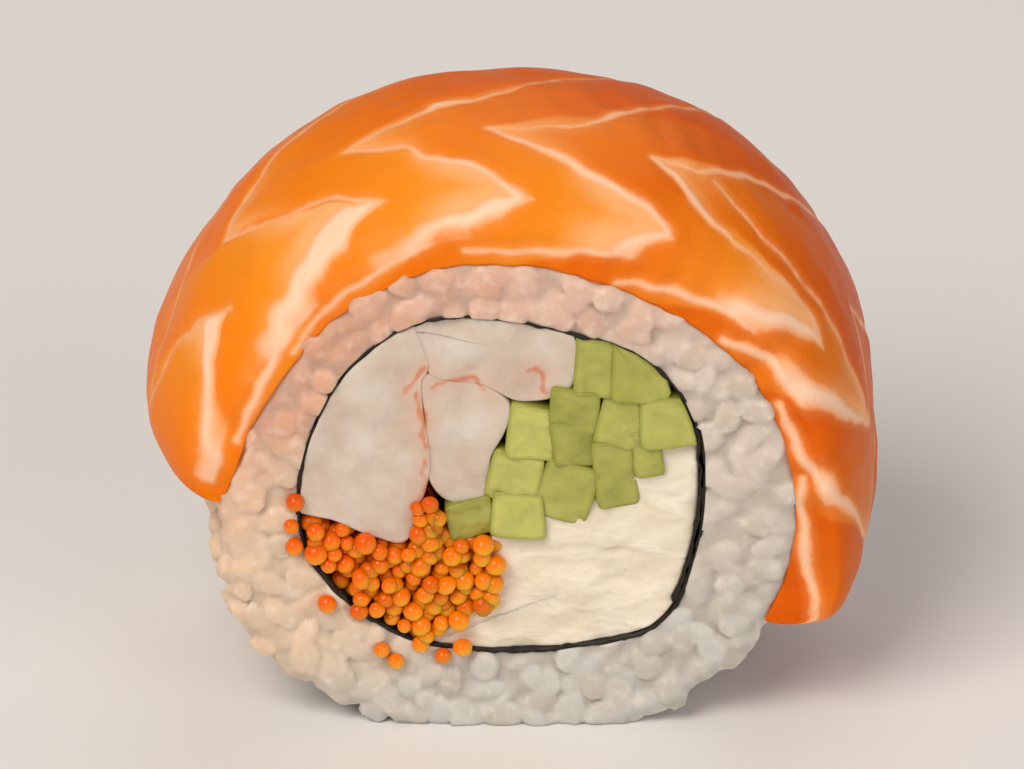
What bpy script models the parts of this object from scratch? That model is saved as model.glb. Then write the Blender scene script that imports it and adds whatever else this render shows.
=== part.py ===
"""One cut piece of an inside-out sushi roll: a ring of rice round a nori sheet and its fillings, under salmon.

The roll lies on its side. X is across it, +Y runs along it away from the shown cut face, and Z is up from
the surface that it rests on. Everything is in metres.
"""

import math
import random

import bmesh
import bpy
from mathutils import Matrix, Vector

MM = 0.001
FULL_TURN = 2 * math.pi

# The whole piece
LENGTH = 24.0 * MM
CUT = LENGTH / 2
GAP = 0.32 * MM
FLOOR_BLOCK = (60.0 * MM, 60.0 * MM, 10.0 * MM)
CREASE = math.radians(50)
WELD = 0.001 * MM

# The rice ring, as its cut face shows it: its middle, and its radius at equal steps from +X towards +Z
RICE_CENTRE = (0.3, 19.2)
RICE_RADII = (20.3, 19.3, 18.0, 18.4, 18.8, 18.7, 20.2, 22.0, 20.9, 19.8, 20.9, 21.1)
RICE_SWELL = 1.4 * MM
RICE_FLATNESS = 0.6
RICE_EDGE = 0.5 * MM
RICE_SIDES = 48
RICE_QUARTER = 0.55 * CUT

# A cooked grain, and those that stand out of each cut face and of the bare outside below the salmon
GRAIN_LENGTH = 6.0 * MM
GRAIN_WIDTH = 3.0 * MM
GRAIN_DEPTH = 2.4 * MM
GRAIN_SEGMENTS = 6
GRAIN_RINGS = 4
FACE_ROWS = ((1.3 * MM, 25), (4.0 * MM, 22))
FACE_SINK = (0.35 * MM, 0.75 * MM)
FACE_STRAY = 0.15
FACE_TURNS = (0.3, 1.2)
BARE_ROWS = 5
BARE_GRAINS = 14
BARE_SINK = 0.6 * MM
BARE_MARGIN = math.radians(9)
BARE_LENGTH = 0.92 * LENGTH
BARE_STRAY = 0.6 * MM
BARE_TURN = 1.2
DOWNWARDS = -0.93
SEED = 8

# The nori sheet: a thin strip wound once round the fillings, its two ends overlapping on the right
NORI_CENTRE = (-0.5, 19.8)
NORI_RADII = (
    *(14.4, 14.8, 14.5, 13.2, 13.3, 14.2, 14.2, 14.0),
    *(14.3, 14.9, 14.5, 14.1, 13.7, 14.4, 16.0, 14.9),
)
NORI_THICKNESS = 0.4 * MM
NORI_INNER_END = math.radians(-38)
NORI_OUTER_END = math.radians(18)
NORI_LAYER_STEP = 0.35 * MM
NORI_EASE = math.radians(40)
NORI_END_ROOM = math.radians(6)
NORI_SIDES = 64

# The salmon slice that drapes over the rice, from its right end round the top to its left end.
# Its thickness half-way between its long edges, and at them, is given at the same steps as the rice's radius.
SALMON_THICKNESSES = (4.3, 5.3, 6.3, 4.8, 5.2, 5.6, 4.8, 4.7, 4.7, 4.7, 4.7, 4.8)
SALMON_EDGES = (1.6, 1.9, 2.3, 1.9, 1.2, 1.2, 1.1, 1.0, 1.0, 1.0, 1.1, 3.4)
SALMON_RIGHT_END = math.radians(-32)
SALMON_LEFT_END = math.radians(183)
SALMON_PILLOW = 2.3
SALMON_STATIONS = 32
SALMON_ACROSS = 12
SALMON_RIGHT_TIP = 1.4 * MM
SALMON_LEFT_TIP = 3.6 * MM
SALMON_TIP_STATIONS = 3

# Cucumber sticks on the cut face: left, right, bottom and top of the room that each one fills
STICKS = (
    (4.9, 7.7, 27.4, 31.2),
    (7.8, 11.3, 26.9, 31.0),
    (3.5, 6.3, 24.8, 27.2),
    (6.5, 9.5, 23.1, 26.6),
    (9.7, 13.4, 23.4, 26.7),
    (0.4, 3.3, 22.3, 25.6),
    (3.5, 6.3, 21.4, 24.6),
    (-1.1, 2.2, 18.6, 22.1),
    (2.4, 6.0, 17.0, 21.2),
    (6.5, 9.0, 18.4, 22.9),
    (9.2, 11.8, 20.0, 23.2),
    (-1.0, 2.2, 15.9, 18.4),
    (-3.8, -1.2, 15.7, 18.3),
)
STICK_SPARE = 0.2 * MM
STICK_EASE = 0.22 * MM
STICK_TILT = math.radians(2.5)
STICK_RECESSES = (0.1 * MM, 0.9 * MM)

# Roe beads
BEAD = 1.65 * MM
BEAD_PITCH = 1.72 * MM
BEAD_SEGMENTS = 6
BEAD_RINGS = 4
BEAD_SINK = (-0.15 * MM, 0.55 * MM)
BEAD_STRAY = 0.1 * MM
BEADS_LEFT = -16.0 * MM
BEADS_BOTTOM = 5.0 * MM
BEAD_COLUMNS = 10
BEAD_ROWS = 10
ROE_CORE_RECESS = 0.6 * MM

# Outlines of the soft fillings on the cut face, in millimetres from the middle of the roll's underside.
# Points past the nori only lead the curve outwards: the nori trims it.
SHRIMP_OUTLINES = {
    "shrimp_left": (
        (-16.2, 24.0),
        (-16.0, 19.2),
        (-12.0, 17.5),
        (-9.6, 16.3),
        (-7.6, 16.0),
        (-6.7, 18.4),
        (-5.95, 21.6),
        (-6.4, 25.4),
        (-6.5, 27.6),
        (-6.1, 29.2),
        (-8.2, 33.2),
        (-13.0, 31.5),
    ),
    "shrimp_top": (
        (-7.7, 34.8),
        (-3.5, 36.0),
        (1.5, 35.0),
        (4.0, 32.0),
        (4.4, 29.5),
        (3.6, 27.5),
        (1.0, 26.9),
        (-1.5, 28.0),
        (-4.6, 28.6),
        (-5.3, 29.7),
        (-6.6, 32.4),
    ),
    "shrimp_middle": (
        (-5.9, 27.9),
        (-5.6, 25.0),
        (-5.5, 21.0),
        (-4.3, 18.9),
        (-2.2, 18.7),
        (-1.5, 20.2),
        (-1.35, 22.2),
        (-0.5, 24.0),
        (-0.1, 25.8),
        (-1.6, 27.2),
        (-4.6, 27.9),
    ),
}
CHEESE_OUTLINE = (
    (10.7, 22.8),
    (12.6, 23.2),
    (16.5, 22.9),
    (17.0, 14.0),
    (14.0, 4.5),
    (6.0, 3.0),
    (-6.5, 3.5),
    (-3.5, 9.0),
    (-2.0, 14.0),
    (0.6, 16.5),
    (5.0, 18.5),
    (8.5, 20.5),
)
ROE_OUTLINE = (
    (-15.8, 17.8),
    (-13.6, 17.3),
    (-11.9, 16.5),
    (-9.6, 15.6),
    (-7.4, 15.1),
    (-6.2, 18.2),
    (-5.4, 18.6),
    (-4.3, 15.9),
    (-2.4, 15.2),
    (-0.6, 14.9),
    (-0.4, 12.4),
    (-1.2, 9.4),
    (-3.4, 8.4),
    (-5.0, 5.0),
    (-10.0, 4.5),
    (-16.5, 9.0),
)

# Colour, roughness and metallic value of each material
COLOURS = {
    "salmon_flesh": ((0.90, 0.31, 0.05, 1.0), 0.30),
    "cooked_rice": ((0.80, 0.74, 0.68, 1.0), 0.45),
    "nori_sheet": ((0.012, 0.016, 0.010, 1.0), 0.60),
    "boiled_shrimp": ((0.78, 0.68, 0.60, 1.0), 0.40),
    "cucumber_flesh": ((0.50, 0.55, 0.14, 1.0), 0.35),
    "cream_cheese": ((0.88, 0.82, 0.70, 1.0), 0.55),
    "orange_roe": ((0.92, 0.25, 0.01, 1.0), 0.15),
}


def clear_scene():
    """Removes the startup objects."""
    for obj in list(bpy.data.objects):
        bpy.data.objects.remove(obj, do_unlink=True)


def new_collection(name, hidden=False):
    """A collection in the scene; a hidden one holds cutters."""
    made = bpy.data.collections.new(name)
    bpy.context.scene.collection.children.link(made)
    made.hide_render = hidden
    return made


def make_material(name):
    """A Principled material with the colour and roughness named above."""
    colour, roughness = COLOURS[name]
    material = bpy.data.materials.new(name)
    material.use_nodes = True
    shader = material.node_tree.nodes["Principled BSDF"]
    shader.inputs["Base Color"].default_value = colour
    shader.inputs["Roughness"].default_value = roughness
    shader.inputs["Metallic"].default_value = 0.0
    return material


def add_object(name, mesh, collection, material=None):
    """An object in its collection, with its material."""
    obj = bpy.data.objects.new(name, mesh)
    collection.objects.link(obj)
    if material:
        mesh.materials.append(material)
    return obj


def as_cutter(obj):
    """Marks a helper so that it isn't part of the model."""
    obj.hide_render = True
    obj.display_type = "WIRE"
    return obj


def boolean(obj, operation, other):
    """A Boolean modifier with one object, or with a whole collection of closed solids."""
    modifier = obj.modifiers.new(operation.title(), "BOOLEAN")
    modifier.operation = operation
    modifier.solver = "MANIFOLD" if isinstance(other, bpy.types.Collection) else "EXACT"
    if isinstance(other, bpy.types.Collection):
        modifier.operand_type = "COLLECTION"
        modifier.collection = other
    else:
        modifier.object = other
    return modifier


def apply_modifiers(obj):
    """Replaces the object's mesh by what its modifiers make of it."""
    bpy.context.view_layer.update()
    graph = bpy.context.evaluated_depsgraph_get()
    baked = bpy.data.meshes.new_from_object(obj.evaluated_get(graph))
    obj.modifiers.clear()
    obj.data = baked
    return obj


def shade(obj):
    """Applies the modifiers and shades the faces smooth between sharp creases."""
    apply_modifiers(obj)
    obj.data.shade_smooth()
    obj.data.set_sharp_from_angle(angle=CREASE)
    return obj


def remove_collection(collection):
    """Removes a collection and the objects that were joined from it."""
    for obj in list(collection.objects):
        bpy.data.objects.remove(obj, do_unlink=True)
    bpy.data.collections.remove(collection)


def radius_at(radii, angle):
    """A radius between those of equal steps round a turn, on a smooth periodic curve through them."""
    place = (angle / FULL_TURN) % 1.0 * len(radii)
    i = int(place)
    t = place - i
    before, near, far, after = (radii[(i + k) % len(radii)] for k in (-1, 0, 1, 2))
    slope = (far - before) / 2
    bend = 2 * before - 5 * near + 4 * far - after
    twist = 3 * (near - far) + after - before
    return near + slope * t + bend / 2 * t**2 + twist / 2 * t**3


def polar_outline(centre, radii, angle):
    """The point of a polar outline at an angle, with the outline given in millimetres."""
    radius = radius_at(radii, angle)
    x = centre[0] + radius * math.cos(angle)
    z = centre[1] + radius * math.sin(angle)
    return Vector((x, z)) * MM


def rice_outline(angle):
    """The rice's outline on the cut face, a little below the surface that it rests on."""
    return polar_outline(RICE_CENTRE, RICE_RADII, angle)


def nori_outline(angle):
    """The middle of the nori, where it is one layer."""
    return polar_outline(NORI_CENTRE, NORI_RADII, angle)


def outward(outline, angle):
    """The unit vector that points out of a counter-clockwise outline at an angle."""
    step = math.radians(1.0)
    along = outline(angle + step) - outline(angle - step)
    return Vector((along.y, -along.x)).normalized()


def offset_point(outline, angle, distance):
    """A point of an outline, moved outwards."""
    return outline(angle) + outward(outline, angle) * distance


def smooth_step(value):
    """0 below 0, 1 above 1, and smooth between."""
    clamped = min(1.0, max(0.0, value))
    return clamped * clamped * (3 - 2 * clamped)


def rice_swell(angle, y):
    """How far the rice stands out of its cut outline: most half-way between the cuts, least underneath."""
    middle = 1 - abs(y / CUT) ** 2
    underneath = max(0.0, -math.sin(angle))
    return RICE_SWELL * middle * (1 - RICE_FLATNESS * underneath)


def rice_surface(angle, y, lift=0.0):
    """A point on the rice's outside, or a distance above it."""
    x, z = offset_point(rice_outline, angle, rice_swell(angle, y) + lift)
    return Vector((x, y, z))


def loft(name, rings, collection, material=None):
    """A closed solid through rings of points, each with as many points, with a face over both ends."""
    shape = bmesh.new()
    loops = [[shape.verts.new(point) for point in ring] for ring in rings]
    sides = len(rings[0])
    for near, far in zip(loops, loops[1:]):
        for i in range(sides):
            j = (i + 1) % sides
            shape.faces.new((near[i], near[j], far[j], far[i]))
    shape.faces.new(loops[0])
    shape.faces.new(loops[-1])
    bmesh.ops.recalc_face_normals(shape, faces=shape.faces)
    mesh = bpy.data.meshes.new(name)
    shape.to_mesh(mesh)
    shape.free()
    return add_object(name, mesh, collection, material)


def angles(count):
    """Equal steps round a full turn."""
    return [FULL_TURN * i / count for i in range(count)]


def prism(name, outline, half_length, collection, material=None, smooth=False):
    """A flat outline carried along the roll, made a mesh. The outline is a list of (x, z) points."""
    curve = bpy.data.curves.new(name, "CURVE")
    curve.dimensions = "2D"
    curve.fill_mode = "BOTH"
    curve.extrude = half_length
    curve.resolution_u = 3
    if smooth:
        spline = curve.splines.new("BEZIER")
        spline.bezier_points.add(len(outline) - 1)
        for knot, (x, z) in zip(spline.bezier_points, outline):
            knot.co = (x, z, 0)
            knot.handle_left_type = "AUTO"
            knot.handle_right_type = "AUTO"
    else:
        spline = curve.splines.new("POLY")
        spline.points.add(len(outline) - 1)
        for knot, (x, z) in zip(spline.points, outline):
            knot.co = (x, z, 0, 1)
    spline.use_cyclic_u = True
    drawn = bpy.data.objects.new(name + "_curve", curve)
    collection.objects.link(drawn)
    bpy.context.view_layer.update()
    graph = bpy.context.evaluated_depsgraph_get()
    mesh = bpy.data.meshes.new_from_object(drawn.evaluated_get(graph))
    bpy.data.objects.remove(drawn, do_unlink=True)
    shape = bmesh.new()
    shape.from_mesh(mesh)
    bmesh.ops.remove_doubles(shape, verts=shape.verts, dist=WELD)
    shape.transform(Matrix.Rotation(math.radians(90), 4, "X"))
    bmesh.ops.recalc_face_normals(shape, faces=shape.faces)
    shape.to_mesh(mesh)
    shape.free()
    mesh.name = name
    return add_object(name, mesh, collection, material)


def nori_layers(angle):
    """How far the sheet's inner and outer layers lie from its outline at an angle within one turn."""
    turn = (angle - NORI_INNER_END) % FULL_TURN
    lap = NORI_OUTER_END - NORI_INNER_END
    if turn <= lap:
        return -NORI_LAYER_STEP, NORI_LAYER_STEP
    after = smooth_step((turn - lap) / NORI_EASE)
    before = smooth_step((FULL_TURN - turn) / NORI_EASE)
    one_layer = NORI_LAYER_STEP * ((1 - before) - (1 - after))
    return one_layer, one_layer


def nori_ring(beyond):
    """The outline a distance inside (negative) or outside (positive) the whole sheet, clear of its ends."""
    layer, furthest = (0, min) if beyond < 0 else (1, max)
    ring = []
    for angle in angles(NORI_SIDES):
        nearby = [nori_layers(angle + turn)[layer] for turn in (-NORI_END_ROOM, 0, NORI_END_ROOM)]
        ring.append(offset_point(nori_outline, angle, furthest(nearby) + beyond))
    return ring


def floor_cutter(cutters):
    """A block under the surface that the piece rests on, which flattens what reaches below it."""
    bpy.ops.mesh.primitive_cube_add(size=1)
    block = bpy.context.object
    block.name = "floor_cutter"
    block.scale = FLOOR_BLOCK
    block.location = (0, 0, -FLOOR_BLOCK[2] / 2)
    block.users_collection[0].objects.unlink(block)
    cutters.objects.link(block)
    return as_cutter(block)


def seed_mesh(name, size, segments, rings):
    """A low ellipsoid, its long axis along X."""
    shape = bmesh.new()
    bmesh.ops.create_uvsphere(shape, u_segments=segments, v_segments=rings, radius=0.5)
    bmesh.ops.rotate(shape, matrix=Matrix.Rotation(math.radians(90), 3, "Y"), verts=shape.verts)
    bmesh.ops.scale(shape, vec=Vector(size), verts=shape.verts)
    mesh = bpy.data.meshes.new(name)
    shape.to_mesh(mesh)
    shape.free()
    return mesh


def facing(along, normal):
    """A rotation whose X runs along a direction and whose Z points along a surface's normal."""
    x = (along - normal * along.dot(normal)).normalized()
    y = normal.cross(x)
    return Matrix((x, y, normal)).transposed().to_4x4()


def place(mesh, name, location, rotation, collection):
    """An object for one grain or bead."""
    obj = bpy.data.objects.new(name, mesh)
    obj.matrix_world = Matrix.Translation(location) @ rotation
    collection.objects.link(obj)
    return obj


def face_grains(mesh, side, collection, draw):
    """Grains that stand out of one cut face of the rice, in rings inside its outline."""
    normal = Vector((0, side, 0))
    for row, (inset, count) in enumerate(FACE_ROWS):
        for i in range(count):
            angle = FULL_TURN * (i + 0.5 * row + draw.uniform(-FACE_STRAY, FACE_STRAY)) / count
            x, z = offset_point(rice_outline, angle, -inset)
            out = outward(rice_outline, angle)
            turn = draw.uniform(-FACE_TURNS[row], FACE_TURNS[row])
            along = Vector((-out.y, 0, out.x)) + Vector((out.x, 0, out.y)) * turn
            centre = Vector((x, side * (CUT - draw.uniform(*FACE_SINK)), z))
            place(mesh, f"grain_{side}_{row}_{i}", centre, facing(along, normal), collection)


def bare_grains(mesh, collection, draw):
    """Grains on the rice's outside where the salmon leaves it bare, down to near the surface below."""
    start = SALMON_LEFT_END + BARE_MARGIN
    end = SALMON_RIGHT_END + FULL_TURN - BARE_MARGIN
    for row in range(BARE_ROWS):
        y = BARE_LENGTH * ((row + 0.5) / BARE_ROWS - 0.5)
        for i in range(BARE_GRAINS):
            share = (i + 0.5 * (row % 2) + draw.uniform(0.1, 0.4)) / BARE_GRAINS
            angle = start + (end - start) * share
            out = outward(rice_outline, angle)
            if out.y < DOWNWARDS or angle > end:
                continue
            stray = draw.uniform(-BARE_STRAY, BARE_STRAY)
            centre = rice_surface(angle, y + stray, -BARE_SINK)
            turn = draw.uniform(-BARE_TURN, BARE_TURN)
            along = Vector((-out.y * math.cos(turn), math.sin(turn), out.x * math.cos(turn)))
            normal = Vector((out.x, 0, out.y))
            place(mesh, f"bare_grain_{row}_{i}", centre, facing(along, normal), collection)


def make_rice(collection, cutters, floor):
    """The rice ring: a lofted core with grains joined on, cut through for the nori and flat underneath."""
    half = (0.0, RICE_QUARTER, CUT - RICE_EDGE, CUT)
    stations = [-y for y in half[:0:-1]] + list(half)
    rings = []
    for y in stations:
        inset = -RICE_EDGE if abs(y) == CUT else 0.0
        rings.append([rice_surface(angle, y, inset) for angle in angles(RICE_SIDES)])
    rice = loft("rice", rings, collection, make_material("cooked_rice"))
    grains = new_collection("grains")
    draw = random.Random(SEED)
    size = (GRAIN_LENGTH, GRAIN_WIDTH, GRAIN_DEPTH)
    mesh = seed_mesh("grain", size, GRAIN_SEGMENTS, GRAIN_RINGS)
    for side in (-1, 1):
        face_grains(mesh, side, grains, draw)
    bare_grains(mesh, grains, draw)
    boolean(rice, "UNION", grains)
    apply_modifiers(rice)
    remove_collection(grains)
    hole = prism("nori_hole", nori_ring(NORI_THICKNESS / 2 + GAP), LENGTH, cutters)
    boolean(rice, "DIFFERENCE", as_cutter(hole))
    boolean(rice, "DIFFERENCE", floor)
    return shade(rice)


def make_nori(collection):
    """The nori: an open ribbon along a spiral of a little over one turn, given its thickness."""
    lap = NORI_OUTER_END - NORI_INNER_END
    steps = round(NORI_SIDES * (FULL_TURN + lap) / FULL_TURN)
    shape = bmesh.new()
    ends = []
    for i in range(steps + 1):
        turn = (FULL_TURN + lap) * i / steps
        angle = NORI_INNER_END + turn
        inner, outer = nori_layers(angle)
        x, z = offset_point(nori_outline, angle, inner if turn < FULL_TURN / 2 else outer)
        ends.append(shape.verts.new((x, -CUT, z)))
    ribbon = [shape.edges.new(pair) for pair in zip(ends, ends[1:])]
    made = bmesh.ops.extrude_edge_only(shape, edges=ribbon)["geom"]
    moved = [part for part in made if isinstance(part, bmesh.types.BMVert)]
    bmesh.ops.translate(shape, vec=(0, LENGTH, 0), verts=moved)
    mesh = bpy.data.meshes.new("nori")
    shape.to_mesh(mesh)
    shape.free()
    nori = add_object("nori", mesh, collection, make_material("nori_sheet"))
    solid = nori.modifiers.new("Thickness", "SOLIDIFY")
    solid.thickness = NORI_THICKNESS
    solid.offset = 0.0
    solid.use_even_offset = True
    return shade(nori)


def salmon_ring(angle, share):
    """A section of the salmon across its width: flat on the rice, pillowed outside, share of full thickness."""
    half = CUT - GAP
    full = radius_at(SALMON_THICKNESSES, angle) * MM
    edge = radius_at(SALMON_EDGES, angle) * MM
    inside, outside = [], []
    for i in range(SALMON_ACROSS + 1):
        bend = math.pi * i / SALMON_ACROSS
        y = -half * math.cos(bend)
        pillow = (1 - abs(y / half) ** SALMON_PILLOW) ** (1 / SALMON_PILLOW)
        thickness = edge + (full - edge) * pillow
        middle = GAP + thickness / 2
        outside.append(rice_surface(angle, y, middle + share * thickness / 2))
        if i % 2 == 0:
            inside.append(rice_surface(angle, y, middle - share * thickness / 2))
    return outside + inside[::-1]


def salmon_tip(end, length, inwards):
    """The stations that round off one end of the salmon: pairs of angle and share of the full thickness."""
    reach = length / (RICE_RADII[0] * MM)
    turns = [math.pi / 2 * (i + 1) / (SALMON_TIP_STATIONS + 1) for i in range(SALMON_TIP_STATIONS)]
    return [(end + inwards * reach * (1 - math.cos(turn)), math.sin(turn)) for turn in turns], reach


def make_salmon(collection):
    """The salmon: sections from its right end over the top to its left end, rounded off at both tips."""
    right, right_reach = salmon_tip(SALMON_RIGHT_END, SALMON_RIGHT_TIP, 1)
    left, left_reach = salmon_tip(SALMON_LEFT_END, SALMON_LEFT_TIP, -1)
    start = SALMON_RIGHT_END + right_reach
    step = (SALMON_LEFT_END - left_reach - start) / SALMON_STATIONS
    body = [(start + step * i, 1.0) for i in range(SALMON_STATIONS + 1)]
    rings = [salmon_ring(angle, share) for angle, share in right + body + left[::-1]]
    return shade(loft("salmon", rings, collection, make_material("salmon_flesh")))


def in_metres(outline):
    """Outline points that are given in millimetres."""
    return [(x * MM, z * MM) for x, z in outline]


def offset_outline(outline, distance):
    """A closed outline moved outwards by a distance, corner by corner."""
    corners = [Vector(point) for point in outline]
    area = sum(a.cross(b) for a, b in zip(corners, corners[1:] + corners[:1]))
    moved = []
    for before, here, after in zip(corners[-1:] + corners, corners, corners[1:] + corners[:1]):
        along = (here - before).normalized() + (after - here).normalized()
        out = Vector((along.y, -along.x)).normalized() * math.copysign(distance, area)
        moved.append(tuple(here + out))
    return moved


def trim_to_nori(obj, inside):
    """Cuts a filling to the room inside the nori."""
    boolean(obj, "INTERSECT", inside)
    return shade(obj)


def stick_shapes():
    """Each cucumber stick's centre, section, tilt and recess, a little short of the room that it fills."""
    draw = random.Random(SEED)
    shapes = []
    for left, right, bottom, top in STICKS:
        centre = Vector((left + right, bottom + top)) / 2 * MM
        section = Vector((right - left, top - bottom)) * MM - Vector((STICK_SPARE, STICK_SPARE))
        tilt = draw.uniform(-STICK_TILT, STICK_TILT)
        shapes.append((centre, section, tilt, draw.uniform(*STICK_RECESSES)))
    return shapes


def stick(name, centre, section, tilt, half_length, collection, material=None):
    """A square-cut stick along the roll."""
    bpy.ops.mesh.primitive_cube_add(size=1, location=(centre.x, 0, centre.y))
    obj = bpy.context.object
    obj.name = name
    obj.users_collection[0].objects.unlink(obj)
    collection.objects.link(obj)
    obj.data.transform(Matrix.Diagonal((section.x, 2 * half_length, section.y, 1)))
    obj.rotation_euler = (0, tilt, 0)
    if material:
        obj.data.materials.append(material)
    return obj


def make_cucumber(collection, inside):
    """The cucumber sticks, each its own piece with eased edges, trimmed where the nori wraps them."""
    material = make_material("cucumber_flesh")
    for i, (centre, section, tilt, recess) in enumerate(stick_shapes(), 1):
        name = f"cucumber_{i:02d}"
        obj = stick(name, centre, section, tilt, CUT - recess, collection, material)
        bevel = obj.modifiers.new("Edges", "BEVEL")
        bevel.width = STICK_EASE
        bevel.segments = 1
        trim_to_nori(obj, inside)


def make_shrimp(collection, inside):
    """The shrimp pieces, which run the whole length of the roll."""
    material = make_material("boiled_shrimp")
    for name, outline in SHRIMP_OUTLINES.items():
        obj = prism(name, in_metres(outline), CUT, collection, material, smooth=True)
        trim_to_nori(obj, inside)


def make_cheese(collection, inside):
    """The cream cheese, pressed against the nori, the cucumber sticks above it and the roe beside it."""
    outline = in_metres(CHEESE_OUTLINE)
    material = make_material("cream_cheese")
    cheese = prism("cream_cheese", outline, CUT, collection, material, smooth=True)
    room = new_collection("room", hidden=True)
    for i, (centre, section, tilt, _) in enumerate(stick_shapes(), 1):
        grown = section + Vector((2 * GAP, 2 * GAP))
        as_cutter(stick(f"room_{i:02d}", centre, grown, tilt, LENGTH, room))
    grown = offset_outline(in_metres(ROE_OUTLINE), GAP)
    as_cutter(prism("roe_room", grown, LENGTH, room, smooth=True))
    for cutter in room.objects:
        boolean(cheese, "DIFFERENCE", cutter)
    trim_to_nori(cheese, inside)
    remove_collection(room)
    return cheese


def inside_outline(point, outline, margin):
    """Whether a point lies in a polygon, and at least a margin from its corners' joining lines."""
    crossings = 0
    for (ax, az), (bx, bz) in zip(outline, outline[1:] + outline[:1]):
        if (az > point[1]) != (bz > point[1]):
            if point[0] < ax + (bx - ax) * (point[1] - az) / (bz - az):
                crossings += 1
        edge = Vector((bx - ax, bz - az))
        share = (Vector(point) - Vector((ax, az))).dot(edge) / edge.length_squared
        nearest = Vector((ax, az)) + edge * min(1.0, max(0.0, share))
        if (Vector(point) - nearest).length < margin:
            return False
    return crossings % 2 == 1


def make_roe(collection, inside):
    """The roe: a core that runs through the roll, with beads joined on at both cut faces."""
    outline = in_metres(ROE_OUTLINE)
    room = nori_ring(-NORI_THICKNESS / 2 - GAP)
    room = [(point.x, point.y) for point in room]
    half_length = CUT - ROE_CORE_RECESS
    roe = prism("roe", outline, half_length, collection, make_material("orange_roe"), smooth=True)
    trim_to_nori(roe, inside)
    beads = new_collection("beads")
    draw = random.Random(SEED)
    mesh = seed_mesh("bead", (BEAD, BEAD, BEAD), BEAD_SEGMENTS, BEAD_RINGS)
    for side in (-1, 1):
        for row in range(BEAD_ROWS):
            for column in range(BEAD_COLUMNS):
                along = column + 0.5 * (row % 2)
                x = BEADS_LEFT + BEAD_PITCH * along + draw.uniform(-BEAD_STRAY, BEAD_STRAY)
                up = BEAD_PITCH * math.sin(math.radians(60)) * row
                z = BEADS_BOTTOM + up + draw.uniform(-BEAD_STRAY, BEAD_STRAY)
                sink = draw.uniform(*BEAD_SINK)
                turn = draw.uniform(0, FULL_TURN)
                held = inside_outline((x, z), outline, BEAD / 2)
                if held and inside_outline((x, z), room, BEAD / 2):
                    centre = Vector((x, side * (CUT - sink), z))
                    name = f"bead_{side}_{row}_{column}"
                    place(mesh, name, centre, Matrix.Rotation(turn, 4, "Z"), beads)
    boolean(roe, "UNION", beads)
    shade(roe)
    remove_collection(beads)
    return roe


def centre_on_origin(piece, cutters):
    """Moves everything alongside the floor so that the middle of the piece's box is over the origin."""
    bpy.context.view_layer.update()
    graph = bpy.context.evaluated_depsgraph_get()
    corners = []
    for obj in piece.objects:
        ready = obj.evaluated_get(graph)
        corners += [ready.matrix_world @ vertex.co for vertex in ready.data.vertices]
    middle = [(min(p[i] for p in corners) + max(p[i] for p in corners)) / 2 for i in (0, 1)]
    for obj in (*piece.objects, *cutters.objects):
        obj.location -= Vector((*middle, 0))


def main():
    clear_scene()
    piece = new_collection("uramaki_roll")
    cutters = new_collection("cutters", hidden=True)
    floor = floor_cutter(cutters)
    make_rice(piece, cutters, floor)
    make_nori(piece)
    make_salmon(piece)
    inside = prism("inside", nori_ring(-NORI_THICKNESS / 2 - GAP), LENGTH, cutters)
    as_cutter(inside)
    make_shrimp(piece, inside)
    make_cucumber(piece, inside)
    make_cheese(piece, inside)
    make_roe(piece, inside)
    centre_on_origin(piece, cutters)


main()
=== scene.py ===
"""Looks of one cut piece of an inside-out sushi roll: rice round a nori sheet and its fillings, under salmon.

The roll lies on its side. X is across it, +Y runs along it away from the shown cut face and Z is up.
Shapes are worked out in millimetres, from the same values as the CAD part, and become metres in the mesh.
"""

from functools import partial

import bmesh
import bpy
import numpy as np
from mathutils import Matrix


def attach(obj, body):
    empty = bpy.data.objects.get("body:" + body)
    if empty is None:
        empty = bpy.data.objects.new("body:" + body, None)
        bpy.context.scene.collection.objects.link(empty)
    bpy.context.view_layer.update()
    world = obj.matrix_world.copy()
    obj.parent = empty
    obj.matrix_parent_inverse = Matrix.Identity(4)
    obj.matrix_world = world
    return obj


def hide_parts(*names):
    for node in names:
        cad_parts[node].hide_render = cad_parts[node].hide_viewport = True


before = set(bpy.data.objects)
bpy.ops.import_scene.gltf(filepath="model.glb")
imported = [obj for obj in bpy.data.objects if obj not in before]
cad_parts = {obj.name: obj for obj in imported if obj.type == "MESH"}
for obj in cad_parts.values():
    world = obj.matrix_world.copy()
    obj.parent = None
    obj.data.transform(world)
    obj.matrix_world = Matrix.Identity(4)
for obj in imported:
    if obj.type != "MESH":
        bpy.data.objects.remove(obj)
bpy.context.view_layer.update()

MM = 0.001
TURN = 2 * np.pi
DEG = np.pi / 180
WELD = 1e-6

# The whole piece, and how far the CAD part was moved to put its middle over the origin
HALF = 12.0
GAP = 0.32
MIDDLE = (0.352, 0.024, 0.0)

# The rice ring
RICE_CENTRE = (0.3, 19.2)
RICE_RADII = (20.3, 19.3, 18.0, 18.4, 18.8, 18.7, 20.2, 22.0, 20.9, 19.8, 20.9, 21.1)
RICE_SWELL = 1.4
RICE_FLATNESS = 0.6
RICE_FACE_SINK = 0.32
RICE_SIDE_SINK = 0.55
RICE_CORNER = 0.9
RICE_UNDER_SALMON = 0.1
RICE_CUT_RELIEF = 0.55  # share of the grains' height that the knife leaves on the cut faces
GRAIN = (4.7, 2.4, 2.2)
GRAIN_REACH = 2.9
GRAIN_JOIN = 7.0
CUT_RINGS = (1.0, 2.35, 3.7, 5.05, 6.4)
CUT_RING_RADIUS = 20.3
CUT_GRAIN_STEP = 2.0
SIDE_RADIUS = 20
SIDE_LINE_STEP = 1.9

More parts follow.
